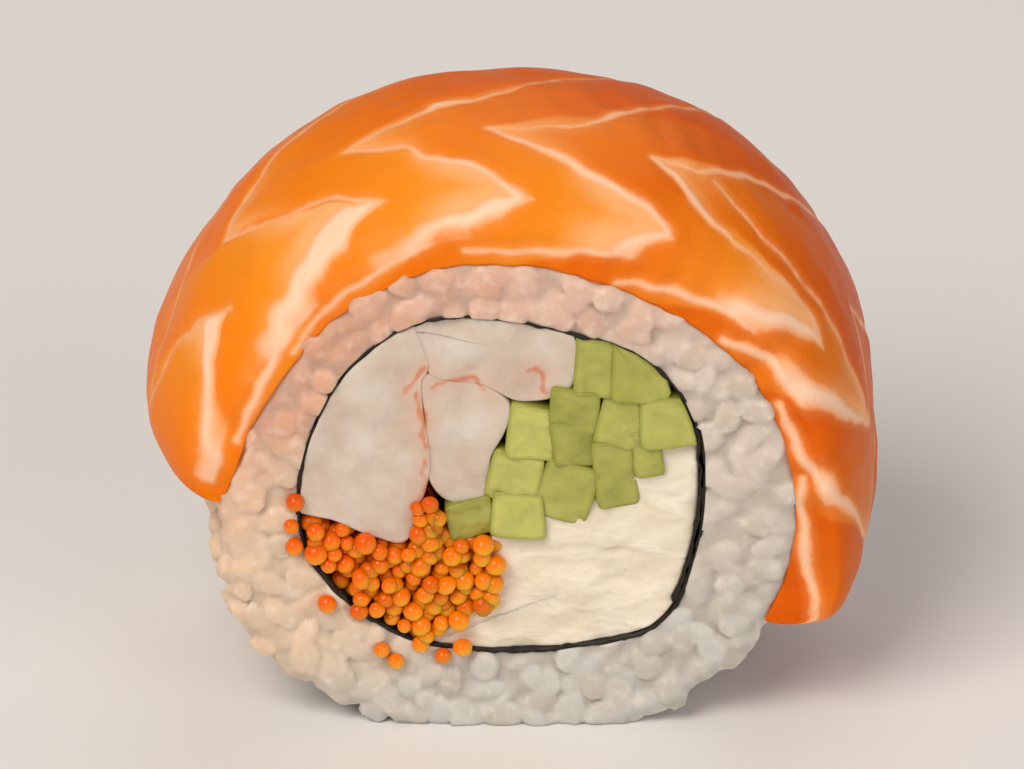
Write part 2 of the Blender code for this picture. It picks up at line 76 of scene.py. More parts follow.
# The nori sheet
NORI_CENTRE = (-0.5, 19.8)
NORI_RADII = (
    *(14.4, 14.8, 14.5, 13.2, 13.3, 14.2, 14.2, 14.0),
    *(14.3, 14.9, 14.5, 14.1, 13.7, 14.4, 16.0, 14.9),
)
NORI_SHEET = 0.2
NORI_INNER_END = -38 * DEG
NORI_OUTER_END = 18 * DEG
NORI_STEP = 0.15
NORI_EASE = 40 * DEG
NORI_REACH = 14.5  # mean radius, which turns an angle into a length of sheet

# The salmon slice
SALMON_THICKNESSES = (4.3, 5.3, 6.3, 4.8, 5.2, 5.6, 4.8, 4.7, 4.7, 4.7, 4.7, 4.8)
SALMON_EDGES = (1.6, 1.9, 2.3, 1.9, 1.2, 1.2, 1.1, 1.0, 1.0, 1.0, 1.1, 3.4)
SALMON_UNDERSIDE = -0.15
SALMON_RIGHT_END = -31 * DEG
SALMON_LEFT_END = 183 * DEG
SALMON_PILLOW = 2.3
SALMON_HALF = HALF - GAP
SALMON_TIPS = (0.5, 3.6)
SALMON_TAIL = 12.0
SALMON_TAIL_SLANT = 7.0 * DEG
SALMON_TIP_WANDER = 1.2 * DEG
FAT_WANDER = 0.16
FAT_GROOVE = 0.09
SALMON_MM_PER_DEGREE = 0.41

# Fat lines of the salmon: angle in degrees, place along the roll and half width in millimetres. A place beyond
# the long edge at 11.68 runs on down the slice's cut edge.
FAT_LINES = (
    ((149, -8.5, 0.3), (153, -8.4, 1.0), (158, -9.7, 0.7), (163, -10.8, 0.5), (170, -11.6, 0.45), (178, -11.9, 0.4)),
    ((147, -8.6, 0.2), (154, -7.2, 0.18), (160, -6.0, 0.18), (168, -5.2, 0.15), (176, -4.5, 0.15)),
    ((176, -4.5, 0.15), (165, -2.4, 0.15), (155, 0.1, 0.2), (150, 3.5, 0.2), (144, 7.0, 0.15), (136, 11.6, 0.15)),
    ((114, -8.9, 0.3), (119, -8.9, 1.0), (123, -9.5, 1.25), (128, -10.5, 0.9), (135, -11.3, 0.65), (145, -11.8, 0.5)),
    ((145, -11.8, 0.5), (153, -12.3, 0.45), (160, -12.6, 0.4), (168, -12.8, 0.3)),
    ((114, -8.9, 0.3), (118, -7.6, 0.25), (123, -6.7, 0.2), (128, -6.1, 0.2), (134, -5.2, 0.2), (142, -3.2, 0.25)),
    ((142, -3.2, 0.25), (139, -1.5, 0.22), (134, 0.6, 0.22), (130, 3.3, 0.25), (125, 4.7, 0.32), (116, 7.9, 0.2)),
    ((116, 7.9, 0.2), (109, 9.6, 0.15), (102, 11.6, 0.15)),
    ((89, -10.0, 0.5), (93, -10.4, 0.8), (99, -11.0, 0.6), (104, -11.3, 0.45), (110, -11.7, 0.4), (122, -12.1, 0.3)),
    ((122, -12.1, 0.3), (132, -12.4, 0.3), (144, -12.8, 0.25)),
    ((89, -9.9, 0.5), (94, -8.0, 0.4), (99, -6.8, 0.45), (105, -5.8, 0.3), (108, -4.5, 0.25), (118, -2.6, 0.2)),
    ((118, -2.6, 0.2), (111, -1.5, 0.2), (107, -0.7, 0.25), (103, 0.7, 0.5), (97, 1.1, 0.25), (89, 3.5, 0.18)),
    ((89, 3.5, 0.18), (80, 6.5, 0.15), (70, 9.5, 0.15), (63, 11.6, 0.15)),
    ((61, -10.5, 0.4), (66, -11.4, 0.5), (72, -11.9, 0.4), (79, -12.7, 0.35), (86, -13.0, 0.35), (100, -12.7, 0.25)),
    ((61, -10.4, 0.4), (67, -9.3, 0.4), (72, -8.6, 0.5), (79, -7.3, 0.5), (85, -5.6, 0.4), (90, -4.4, 0.35)),
    ((90, -4.4, 0.35), (95, -3.1, 0.2), (87, -3.1, 0.2), (79, -2.3, 0.25), (75, -0.7, 0.35), (70, 1.1, 0.22)),
    ((70, 1.1, 0.22), (61, 4.5, 0.18), (51, 8.0, 0.15), (43, 11.6, 0.15)),
    ((25, -8.9, 0.4), (32, -10.5, 0.7), (38, -11.4, 0.55), (45, -11.9, 0.5), (51, -12.6, 0.4), (66, -13.8, 0.3)),
    ((25, -8.8, 0.3), (32, -8.4, 0.25), (39, -8.8, 0.2), (47, -8.8, 0.25), (52, -8.3, 0.35), (57, -7.3, 0.5)),
    ((57, -7.3, 0.5), (62, -5.7, 0.5), (67, -4.7, 0.25), (57, -4.3, 0.25), (50, -2.3, 0.38), (44, -0.2, 0.32)),
    ((44, -0.2, 0.32), (39, 0.8, 0.3), (33, 3.2, 0.2), (27, 6.8, 0.18), (20, 11.6, 0.15)),
    ((4, -5.6, 0.3), (11, -9.2, 0.6), (16, -10.6, 0.7), (22, -11.7, 0.65), (30, -12.4, 0.5), (39, -13.5, 0.4)),
    ((3, -5.0, 0.25), (15, -6.7, 0.18), (27, -7.1, 0.18), (37, -7.0, 0.2), (43, -6.7, 0.2), (54, -4.8, 0.2)),
    ((3, -5.0, 0.25), (10, -3.4, 0.2), (20, -1.8, 0.2), (12, 1.6, 0.22), (5, 6.0, 0.2), (-1, 11.6, 0.2)),
    ((-19, -4.6, 0.25), (-13, -7.8, 0.35), (-3, -11.3, 0.5), (3, -12.1, 0.55), (10, -12.9, 0.45), (20, -13.2, 0.35)),
    ((-19, -4.3, 0.3), (-8, -3.2, 0.2), (4, -1.0, 0.2), (-4, 2.4, 0.25), (-12, 6.6, 0.22), (-18, 11.6, 0.2)),
    ((-32, -11.0, 0.2), (-27, -12.2, 0.3), (-21, -13.3, 0.45), (-14, -13.8, 0.5), (-6, -13.5, 0.45), (3, -13.2, 0.35)),
    ((-31, -1.0, 0.3), (-22, 0.8, 0.22), (-26, 4.0, 0.25), (-31, 8.5, 0.25)),
    ((182, 0.5, 0.25), (173, 3.4, 0.3), (163, 6.8, 0.22), (153, 11.6, 0.2)),
)

# Fat that fills the inside of a bend: the bend, one end on each of its two lines, and how pale it is
FAT_FILLS = (
    ((148, -8.6), (159, -10.6), (161, -5.8), 0.85),
    ((113, -9.0), (133, -11.6), (135, -5.0), 1.0),
    ((87, -10.1), (105, -11.6), (106, -5.4), 1.0),
    ((60, -10.6), (79, -12.9), (80, -6.8), 1.0),
    ((23, -8.9), (42, -12.0), (42, -8.2), 0.95),
    ((2, -5.0), (20, -12.0), (22, -7.0), 0.5),
    ((-20, -4.2), (-6, -12.0), (-6, -3.0), 0.4),
    ((-33, -10.6), (-20, -13.4), (-22, -8.0), 0.3),
    ((143, -3.0), (126, -6.4), (129, 3.6), 0.4),
    ((119, -2.6), (103, -5.9), (102, 1.0), 0.4),
    ((96, -3.1), (78, -7.4), (74, -0.4), 0.35),
    ((68, -4.7), (51, -8.4), (49, -2.0), 0.4),
)

# Cucumber sticks on the cut face: left, right, bottom and top of the room that each one fills
STICKS = (
    (4.9, 7.7, 27.4, 31.2),
    (7.8, 11.3, 26.9, 31.0),
    (3.5, 6.3, 24.8, 27.2),
    (6.5, 9.5, 23.1, 26.6),
    (9.7, 13.4, 23.4, 26.7),
    (0.4, 3.3, 22.3, 25.6),
    (3.5, 6.3, 21.4, 24.6),
    (-1.1, 2.2, 18.6, 22.1),
    (2.4, 6.0, 17.0, 21.2),
    (6.5, 9.0, 18.4, 22.9),
    (9.0, 10.9, 21.0, 23.5),
    (-1.0, 2.2, 15.9, 18.4),
    (-3.8, -1.2, 15.7, 18.3),
)

STICK_SWELL = 0.85  # how much wider than its room a section starts, so that neighbours touch
STICK_SHOVE = 0.36
TOPMOST = 30
STICK_SQUARENESS = 0.24
SHRIMP_SWELL = 1.12

# Outlines of the soft fillings on the cut face, as in the CAD part, and the heart that each one shrinks to
SHRIMP_OUTLINES = {
    "shrimp_left": (
        *((-16.2, 24.0), (-16.0, 19.2), (-12.0, 17.5), (-9.6, 16.3), (-7.6, 16.0), (-6.7, 18.4)),
        *((-5.95, 21.6), (-6.4, 25.4), (-6.5, 27.6), (-6.1, 29.2), (-8.2, 33.2), (-13.0, 31.5)),
    ),
    "shrimp_top": (
        *((-7.7, 34.8), (-3.5, 36.0), (1.5, 35.0), (4.0, 32.0), (4.4, 29.5), (3.6, 27.5)),
        *((1.0, 26.9), (-1.5, 28.0), (-4.6, 28.6), (-5.3, 29.7), (-6.6, 32.4)),
    ),
    "shrimp_middle": (
        *((-5.9, 27.9), (-5.6, 25.0), (-5.5, 21.0), (-4.3, 18.9), (-2.2, 18.7), (-1.5, 20.2)),
        *((-1.35, 22.2), (-0.5, 24.0), (-0.1, 25.8), (-1.6, 27.2), (-4.6, 27.9)),
    ),
}
SHRIMP_HEARTS = {"shrimp_left": (-10.3, 24.0), "shrimp_top": (-0.8, 31.0), "shrimp_middle": (-3.4, 23.6)}
CHEESE_OUTLINE = (
    *((10.7, 22.8), (12.6, 23.2), (16.5, 22.9), (17.0, 14.0), (14.0, 4.5), (6.0, 3.0)),
    *((-6.5, 3.5), (-3.5, 9.0), (-2.0, 14.0), (0.6, 16.5), (5.0, 18.5), (8.5, 20.5)),
)
CHEESE_HEART = (4.5, 11.0)
ROE_OUTLINE = (
    *((-15.8, 17.8), (-13.6, 17.3), (-11.9, 16.5), (-9.6, 15.6), (-7.4, 15.1), (-6.2, 18.2)),
    *((-5.4, 18.6), (-4.3, 15.9), (-2.4, 15.2), (-0.6, 14.9), (-0.4, 12.4), (-1.2, 9.4)),
    *((-3.4, 8.4), (-5.0, 5.0), (-10.0, 4.5), (-16.5, 9.0)),
)
ROE_HEART = (-7.0, 11.5)
BEAD = 1.45
BEAD_STEP = 1.3
BEAD_ROW = 1.1
BEAD_LAYER = 0.7
BEAD_STRAY = 0.35
LOOSE_BEADS = (
    *((-15.1, 18.5), (-12.9, 10.2), (-10.6, 9.6), (-8.0, 5.5), (-6.2, 6.9), (-1.7, 10.1), (-1.7, 15.0)),
    *((-5.5, 18.3), (-6.2, 17.1), (-5.4, 16.3), (-5.5, 15.2), (-6.4, 18.0), (-4.9, 17.2), (-6.3, 15.9)),
    *((-15.4, 16.6), (-15.2, 14.9), (-9.0, 6.4), (-3.2, 6.6), (-0.9, 11.8), (-0.8, 13.4), (-4.6, 5.9)),
)

# Pink seams of the shrimp on the cut face: X, Z and half width
SHRIMP_SEAMS = (
    ((-5.6, 29.4, 0.1), (-6.3, 28.6, 0.2), (-7.2, 27.3, 0.08)),
    ((-6.5, 27.3, 0.12), (-6.0, 25.1, 0.22), (-5.8, 22.8, 0.12)),
    ((-5.9, 22.0, 0.05), (-5.9, 19.6, 0.14), (-6.3, 17.8, 0.08)),
    ((-5.5, 27.5, 0.08), (-4.0, 28.2, 0.14), (-2.4, 28.4, 0.18), (-1.7, 27.5, 0.08)),
    ((1.4, 28.9, 0.12), (1.9, 29.2, 0.2), (2.6, 28.4, 0.14), (2.6, 27.0, 0.08)),
)


# ---------------------------------------------------------------- shapes


def wheel(radii, angle):
    """Radius at each angle: a cubic through the four nearest of equally spaced radii round the turn."""
    radii = np.asarray(radii)
    place = np.mod(angle / TURN, 1.0) * len(radii)
    i = np.floor(place).astype(int)
    t = place - i
    before, near, far, after = (radii[(i + k) % len(radii)] for k in (-1, 0, 1, 2))
    bend = 2 * before - 5 * near + 4 * far - after
    twist = 3 * (near - far) + after - before
    return near + (far - before) / 2 * t + bend / 2 * t**2 + twist / 2 * t**3


def rim(centre, radii, angle, lift=0.0):
    """X and Z of a polar outline, centre + radius at the angle, moved by lift along its outward normal."""
    step = 1.0 * DEG
    ahead, behind = angle + step, angle - step
    dx = wheel(radii, ahead) * np.cos(ahead) - wheel(radii, behind) * np.cos(behind)
    dz = wheel(radii, ahead) * np.sin(ahead) - wheel(radii, behind) * np.sin(behind)
    size = np.hypot(dx, dz)
    x = centre[0] + wheel(radii, angle) * np.cos(angle) + lift * dz / size
    z = centre[1] + wheel(radii, angle) * np.sin(angle) - lift * dx / size
    return x, z


def rice_skin(angle, y, lift=0.0):
    """Point above the rice's outside: its outline, swelled by 1.4 (1 - (y/12)^2), less underneath, plus lift."""
    angle, y = np.broadcast_arrays(angle, y)
    underneath = np.maximum(0.0, -np.sin(angle))
    swell = RICE_SWELL * (1 - (y / HALF) ** 2) * (1 - RICE_FLATNESS * underneath)
    x, z = rim(RICE_CENTRE, RICE_RADII, angle, swell + lift)
    return np.stack((x, y, z), -1)


def smooth_step(value):
    """0 below 0, 1 above 1, and 3t^2 - 2t^3 between."""
    t = np.clip(value, 0.0, 1.0)
    return t * t * (3 - 2 * t)


def lumps(points, size, seed):
    """Smooth random height, mostly within -1 and 1: the mean of 20 seeded sine waves about one size long."""
    draw = np.random.default_rng(seed)
    total = 0.0
    for _ in range(20):
        heading = draw.normal(size=3)
        heading *= TURN / (size * draw.uniform(0.7, 1.5) * np.linalg.norm(heading))
        total = total + np.sin(points @ heading + draw.uniform(0, TURN))
    return total * 0.16


def grid_faces(rows, columns, round_rows=False):
    """Four-cornered faces of a grid of points, row by row; each row closes on itself, the rows do where asked."""
    number = np.arange(rows * columns).reshape(rows, columns)
    if round_rows:
        number = np.vstack((number, number[:1]))
    number = np.hstack((number, number[:, :1]))
    corners = (number[:-1, :-1], number[:-1, 1:], number[1:, 1:], number[1:, :-1])
    return np.stack(corners, -1).reshape(-1, 4)


def through(points, count):
    """Closed curve through points: the same cubic as wheel() between each four, at evenly spaced lengths."""
    knots = np.asarray(points, float)
    place = np.linspace(0, TURN, 40 * len(knots), endpoint=False)
    x, z = wheel(knots[:, 0], place), wheel(knots[:, 1], place)
    steps = np.hypot(np.diff(x, append=x[0]), np.diff(z, append=z[0]))
    length = np.concatenate(([0.0], np.cumsum(steps)))
    wanted = np.linspace(0, length[-1], count, endpoint=False)
    x = np.interp(wanted, length, np.append(x, x[0]))
    z = np.interp(wanted, length, np.append(z, z[0]))
    return np.stack((x, z), -1)


def within_nori(outline, room):
    """Outline points pulled towards the nori's middle wherever they lie beyond its inside, less room."""
    off = outline - np.asarray(NORI_CENTRE)
    angle = np.arctan2(off[:, 1], off[:, 0])
    inner, _ = nori_layers(angle)
    x, z = rim(NORI_CENTRE, NORI_RADII, angle, inner - NORI_SHEET / 2 - room)
    limit = np.hypot(x - NORI_CENTRE[0], z - NORI_CENTRE[1])
    share = np.minimum(1.0, limit / np.maximum(np.hypot(off[:, 0], off[:, 1]), 1e-6))
    return np.asarray(NORI_CENTRE) + off * share[:, None]


def nori_layers(angle):
    """How far the sheet's inner and outer layers lie from its outline: apart where it overlaps, then eased together."""
    turn = np.mod(angle - NORI_INNER_END, TURN)
    lap = NORI_OUTER_END - NORI_INNER_END
    after = smooth_step((turn - lap) / NORI_EASE)
    before = smooth_step((TURN - turn) / NORI_EASE)
    single = NORI_STEP * (after - before)
    inner = np.where(turn <= lap, -NORI_STEP, single)
    return inner, np.where(turn <= lap, NORI_STEP, single)


def filling(outline, heart, half, ease, dome, rough, seed, rows=22):
    """Closed piece that runs through the roll: rings shrunk from the outline towards its heart make both cut faces.

    A ring at share s of the way out lies at half + dome (1 - s^2) along the roll; the last ease of each face
    turns over a quarter circle into the side, and lumps of the given height roughen everything.
    """
    heart = np.asarray(heart)
    reach = np.hypot(*(outline - heart).T).mean()
    turn = np.linspace(0, np.pi / 2, 6)
    face = np.linspace(0, 1 - ease / reach, rows)
    share = np.concatenate((face, 1 - ease / reach * (1 - np.sin(turn[1:]))))
    depth = half + dome * (1 - share**2) - np.concatenate((np.zeros(rows), ease * (1 - np.cos(turn[1:]))))
    side = np.linspace(1, -1, 14)[1:-1] * depth[-1]
    share = np.concatenate((share, np.ones(12), share[::-1]))
    y = -np.concatenate((depth, side, -depth[::-1]))
    flat = heart + (outline - heart)[None] * share[:, None, None]
    points = np.stack((flat[..., 0], np.broadcast_to(y[:, None], flat.shape[:2]), flat[..., 1]), -1)
    height = sum(size * lumps(points, length, seed + i) for i, (size, length) in enumerate(rough))
    fade = np.minimum(1.0, np.abs(y) / half) ** 6
    points[..., 1] += np.sign(y)[:, None] * height * fade[:, None]
    spread = 1 + 0.25 * height * (1 - fade[:, None]) / reach
    points[..., 0] = heart[0] + (points[..., 0] - heart[0]) * spread
    points[..., 2] = heart[1] + (points[..., 2] - heart[1]) * spread
    return points.reshape(-1, 3), grid_faces(len(share), len(outline))


def ball(rings, sides):
    """Points of a unit ball: poles on X, each ring sin(latitude) across."""
    latitude = np.linspace(0, np.pi, rings + 1)[:, None]
    around = np.linspace(0, TURN, sides, endpoint=False)[None]
    across = np.sin(latitude)
    points = (np.cos(latitude) + 0 * around, across * np.cos(around), across * np.sin(around))
    return np.stack(points, -1).reshape(-1, 3)


def facing(normal, heading):
    """Rotation for each copy, as rows: its long axis along the heading laid flat, its last axis along the normal."""
    normal = normal / np.linalg.norm(normal, axis=-1, keepdims=True)
    along = heading - normal * np.sum(heading * normal, -1, keepdims=True)
    along /= np.linalg.norm(along, axis=-1, keepdims=True)
    return np.stack((along, np.cross(normal, along), normal), 1)


def copies(shape, rings, sides, centres, turned, sizes):
    """Every copy of a shape: its points times half its size, turned, then moved to its centre; with its faces."""
    points = np.einsum("vk,nk,nkc->nvc", shape, sizes / 2, turned) + centres[:, None]
    faces = grid_faces(rings + 1, sides)[None] + len(shape) * np.arange(len(centres))[:, None, None]
    return points.reshape(-1, 3), faces.reshape(-1, 4)


def make_piece(name, points, faces, finish, stands_for, values=None):
    """Puts points in millimetres and their faces into a mesh, closes its seams and poles and rides it on the body.

    Values are numbers at the points that the finish reads by name.
    """
    mesh = bpy.data.meshes.new(name)
    mesh.vertices.add(len(points))
    mesh.vertices.foreach_set("co", ((points - MIDDLE) * MM).astype(np.float32).ravel())
    mesh.loops.add(faces.size)
    mesh.loops.foreach_set("vertex_index", faces.astype(np.int32).ravel())
    mesh.polygons.add(len(faces))
    mesh.polygons.foreach_set("loop_start", np.arange(0, faces.size, 4, dtype=np.int32))
    mesh.update(calc_edges=True)
    for label, value in (values or {}).items():
        held = mesh.attributes.new(label, "FLOAT", "POINT")
        held.data.foreach_set("value", np.ascontiguousarray(value, np.float32).ravel())
    shape = bmesh.new()
    shape.from_mesh(mesh)
    bmesh.ops.remove_doubles(shape, verts=shape.verts, dist=WELD)
    bmesh.ops.recalc_face_normals(shape, faces=shape.faces)
    shape.to_mesh(mesh)
    shape.free()
    mesh.shade_smooth()
    mesh.materials.append(finish)
    obj = bpy.data.objects.new(name, mesh)
    bpy.context.scene.collection.objects.link(obj)
    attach(obj, "root")
    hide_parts(*stands_for)


# ---------------------------------------------------------------- finishes

MULTIPLY_ADD = {"operation": "MULTIPLY_ADD"}  # for input 0 times input 1 plus input 2
SMOOTH = {"interpolation_type": "SMOOTHSTEP"}  # for a map range whose ends are eased
MIX = {"output": 2, "data_type": "RGBA"}  # for a mix of colours: input 0 is the share of input 7 over input 6


def linear(colour):
    """A colour written as sRGB hex, as the linear values that a shader takes."""
    parts = [int(colour[i : i + 2], 16) / 255 for i in (1, 3, 5)]
    return (*((c / 12.92 if c <= 0.04045 else ((c + 0.055) / 1.055) ** 2.4) for c in parts), 1.0)


def node(tree, kind, inputs=None, output=0, **settings):
    """Adds a node with its settings and links, and gives back its output, the first one unless another is named.

    Each named or numbered input gets a value, a colour as hex text, or the socket that feeds it.
    """
    made = tree.nodes.new("ShaderNode" + kind)
    for setting, value in settings.items():
        setattr(made, setting, value)
    for key, value in (inputs or {}).items():
        if isinstance(value, bpy.types.NodeSocket):
            tree.links.new(value, made.inputs[key])
        else:
            made.inputs[key].default_value = linear(value) if isinstance(value, str) else value
    return made.outputs[output]


def new_finish(name, slot, **values):
    """A material of one Principled shader with these values on its own sockets.

    Gives back the material, node() for its tree, the shader, and the Object coordinates in millimetres, so that a
    noise of Scale 1 / s has patches about s millimetres across.
    """
    finish = bpy.data.materials.new(name)
    finish["slot"] = slot
    finish.use_nodes = True
    tree = finish.node_tree
    shader = tree.nodes["Principled BSDF"]
    for label, value in values.items():
        shader.inputs[label.replace("_", " ")].default_value = value
    add = partial(node, tree)
    place = add("Mapping", {"Vector": add("TexCoord", output="Object"), "Scale": (1000, 1000, 1000)})
    return finish, add, shader, place


def surface(shader, colour, height, distance, strength):
    """Gives the shader its colour and a bump from a height pattern, distance in metres; gives back the bump."""
    tree = shader.id_data
    bump = node(tree, "Bump", {"Height": height, "Distance": distance, "Strength": strength})
    tree.links.new(colour, shader.inputs["Base Color"])
    tree.links.new(bump, shader.inputs["Normal"])
    return bump


def salmon_flesh():
    """Raw salmon, cut with a knife: smooth orange flesh under a thin wet film, which gives it its soft gloss.

    It is faintly see-through, has pale fat lines, and fine fibres run along them.
    """
    finish, add, shader, place = new_finish(
        "raw_salmon",
        "salmon_flesh",
        Roughness=0.38,
        IOR=1.36,
        Specular_IOR_Level=0.1,
        Subsurface_Weight=0.12,
        Subsurface_Radius=(1.0, 0.4, 0.12),
        Subsurface_Scale=0.001,
        Coat_Weight=0.08,
        Coat_Roughness=0.14,
        Coat_IOR=1.34,
    )
    fat = add("Attribute", output="Fac", attribute_name="fat")
    fill = add("Attribute", output="Fac", attribute_name="fill")
    glow = add("Attribute", output="Fac", attribute_name="glow")
    x, y, _ = add("SeparateXYZ", {0: place}).node.outputs
    cloud = add("TexNoise", {"Vector": place, "Scale": 0.16, "Detail": 3.0})
    fray = add("TexNoise", {"Vector": place, "Scale": 0.9, "Detail": 4.0, "Roughness": 0.6})
    # the flesh: reddest to the right and at the back, most yellow to the left, in patches about 6 mm wide; partly the
    # flesh's own tone, partly painted shade on the sides turned from the light
    side = add("Math", {0: y, 1: 0.7, 2: x}, **MULTIPLY_ADD)
    side = add("Math", {0: cloud, 1: 22.0, 2: side}, **MULTIPLY_ADD)
    side = add("MapRange", {0: side, 1: -12.0, 2: 34.0}, **SMOOTH)
    flesh = add("Mix", {0: side, 6: "#f27a08", 7: "#d65604"}, **MIX)
    # fine fibres that follow the fat lines, drawn coarser than real
    strand = add("Math", {0: fray, 1: 0.8, 2: fat}, **MULTIPLY_ADD)
    strand = add("TexNoise", {"W": strand, "Scale": 1.5, "Detail": 2.0}, noise_dimensions="1D")
    strand = add("MapRange", {0: strand, 1: 0.4, 2: 0.7, 3: 0.0, 4: 0.22})
    flesh = add("Mix", {0: strand, 6: flesh, 7: "#e05c04"}, **MIX)
    # the inside of each bend glows yellower
    warm = add("Math", {0: glow, 1: 0.95}, operation="MULTIPLY")
    flesh = add("Mix", {0: warm, 6: flesh, 7: "#f9a42e"}, **MIX)
    # pale fat on the inner side of each bend, which fades away from its lines within two millimetres
    near_line = add("MapRange", {0: fat, 1: -1.9, 2: 0.1, 3: 0.16, 4: 0.92}, **SMOOTH)
    haze = add("MapRange", {0: fill, 1: 0.04, 2: 0.5}, **SMOOTH)
    haze = add("Math", {0: haze, 1: near_line}, operation="MULTIPLY")
    flesh = add("Mix", {0: haze, 6: flesh, 7: "#fab980"}, **MIX)
    # the lines: edges soft on a scale of a tenth of a millimetre, with a faint pale border
    fray = add("MapRange", {0: fray, 1: 0.3, 2: 0.7, 3: -0.1, 4: 0.1})
    edge = add("Math", {0: fat, 1: fray}, operation="ADD")
    bleed = add("MapRange", {0: edge, 1: -0.6, 2: 0.1, 3: 0.0, 4: 0.25})
    flesh = add("Mix", {0: bleed, 6: flesh, 7: "#ffb068"}, **MIX)
    thick = add("MapRange", {0: fat, 1: 0.0, 2: 0.6}, **SMOOTH)
    cream = add("Mix", {0: thick, 6: "#f8b07c", 7: "#fcd8bc"}, **MIX)
    line = add("MapRange", {0: edge, 1: -0.16, 2: 0.22, 4: 0.88}, **SMOOTH)
    colour = add("Mix", {0: line, 6: flesh, 7: cream}, **MIX)
    # fibres under a millimetre wide and slightly raised lines roughen the gloss
    fibre = add("TexNoise", {"Vector": place, "Scale": 1.1, "Detail": 5.0, "Roughness": 0.65})
    ridge = add("Math", {0: line, 1: 0.25, 2: fibre}, **MULTIPLY_ADD)
    bump = surface(shader, colour, ridge, 0.00018, 0.5)
    bump.node.id_data.links.new(bump, shader.inputs["Coat Normal"])
    return finish


def cooked_rice():
    """Vinegared rice, boiled and pressed: sticky and faintly see-through, with small soft glints on each grain.

    It has painted light and shade: a pink cast of painted reflection and shade from the salmon where they touch, a
    cream painted light on the left and a cool grey painted shade low down and to the right.
    """
    finish, add, shader, place = new_finish(
        "vinegared_rice",
        "cooked_rice",
        Roughness=0.42,
        IOR=1.42,
        Specular_IOR_Level=0.3,
        Subsurface_Weight=0.5,
        Subsurface_Radius=(1.0, 0.8, 0.6),
        Subsurface_Scale=0.0014,
        Coat_Weight=0.06,
        Coat_Roughness=0.25,
    )
    tint = add("Attribute", output="Fac", attribute_name="tint")
    crease_shade = add("Attribute", output="Fac", attribute_name="crease_shade")
    x, _, z = add("SeparateXYZ", {0: place}).node.outputs
    cloud = add("TexNoise", {"Vector": place, "Scale": 0.2, "Detail": 3.0})
    left = add("Math", {0: cloud, 1: 16.0, 2: x}, **MULTIPLY_ADD)
    left = add("MapRange", {0: left, 1: -10.0, 2: 12.0}, **SMOOTH)
    # the bare rice: cream on the left as painted light, a cool grey low down and to the right as painted shade, in
    # patches about 5 mm wide
    low = add("Mix", {0: left, 6: "#edd2b6", 7: "#d6cac0"}, **MIX)
    cool = add("Math", {0: cloud, 1: 9.0, 2: z}, **MULTIPLY_ADD)
    cool = add("Math", {0: x, 1: -0.4, 2: cool}, **MULTIPLY_ADD)
    cool = add("MapRange", {0: cool, 1: 19.0, 2: 8.0}, **SMOOTH)
    low = add("Mix", {0: cool, 6: low, 7: "#cacac6"}, **MIX)
    # painted reflection and shade of the salmon: pink under the slice, most on the left
    warm = add("Math", {0: x, 1: -0.45, 2: z}, **MULTIPLY_ADD)
    warm = add("Math", {0: cloud, 1: 14.0, 2: warm}, **MULTIPLY_ADD)
    warm = add("MapRange", {0: warm, 1: 26.0, 2: 44.0}, **SMOOTH)
    pink = add("Mix", {0: left, 6: "#dba98f", 7: "#e0c0b0"}, **MIX)
    body = add("Mix", {0: warm, 6: low, 7: pink}, **MIX)
    # each grain has its own tint; starch specks are under a millimetre wide; creases are a little darker, as painted
    # shade
    grey = add("MapRange", {0: tint, 1: 0.2, 2: 0.85, 3: 0.0, 4: 0.5})
    deep = add("Mix", {0: warm, 6: "#bcb1a2", 7: "#cf9c84"}, **MIX)
    body = add("Mix", {0: grey, 6: body, 7: deep}, **MIX)
    speck = add("TexNoise", {"Vector": place, "Scale": 1.1, "Detail": 3.0})
    speck = add("MapRange", {0: speck, 1: 0.5, 2: 0.75, 3: 0.0, 4: 0.35})
    body = add("Mix", {0: speck, 6: body, 7: "#faf2e8"}, **MIX)
    dark = add("Math", {0: crease_shade, 1: 0.42}, operation="MULTIPLY")
    colour = add("Mix", {0: dark, 6: body, 7: "#a3968a"}, **MIX)
    # a skin of starch, rough on a scale of 0.6 mm
    starch = add("TexNoise", {"Vector": place, "Scale": 1.6, "Detail": 4.0})
    surface(shader, colour, starch, 0.00015, 0.4)
    return finish


def nori_sheet():
    """Pressed dried seaweed, damp from the rice: near black with a brown-green cast and a pressed fibre grain."""
    finish, add, shader, place = new_finish("pressed_seaweed", "nori_sheet", Roughness=0.5, IOR=1.4)
    # the pressed fibres, drawn about 0.8 mm wide, coarser than real, so that they show
    mottle = add("TexNoise", {"Vector": place, "Scale": 1.2, "Detail": 5.0})
    colour = add("Mix", {0: mottle, 6: "#0e0a06", 7: "#2a2016"}, **MIX)
    surface(shader, colour, mottle, 0.0003, 0.7)
    return finish


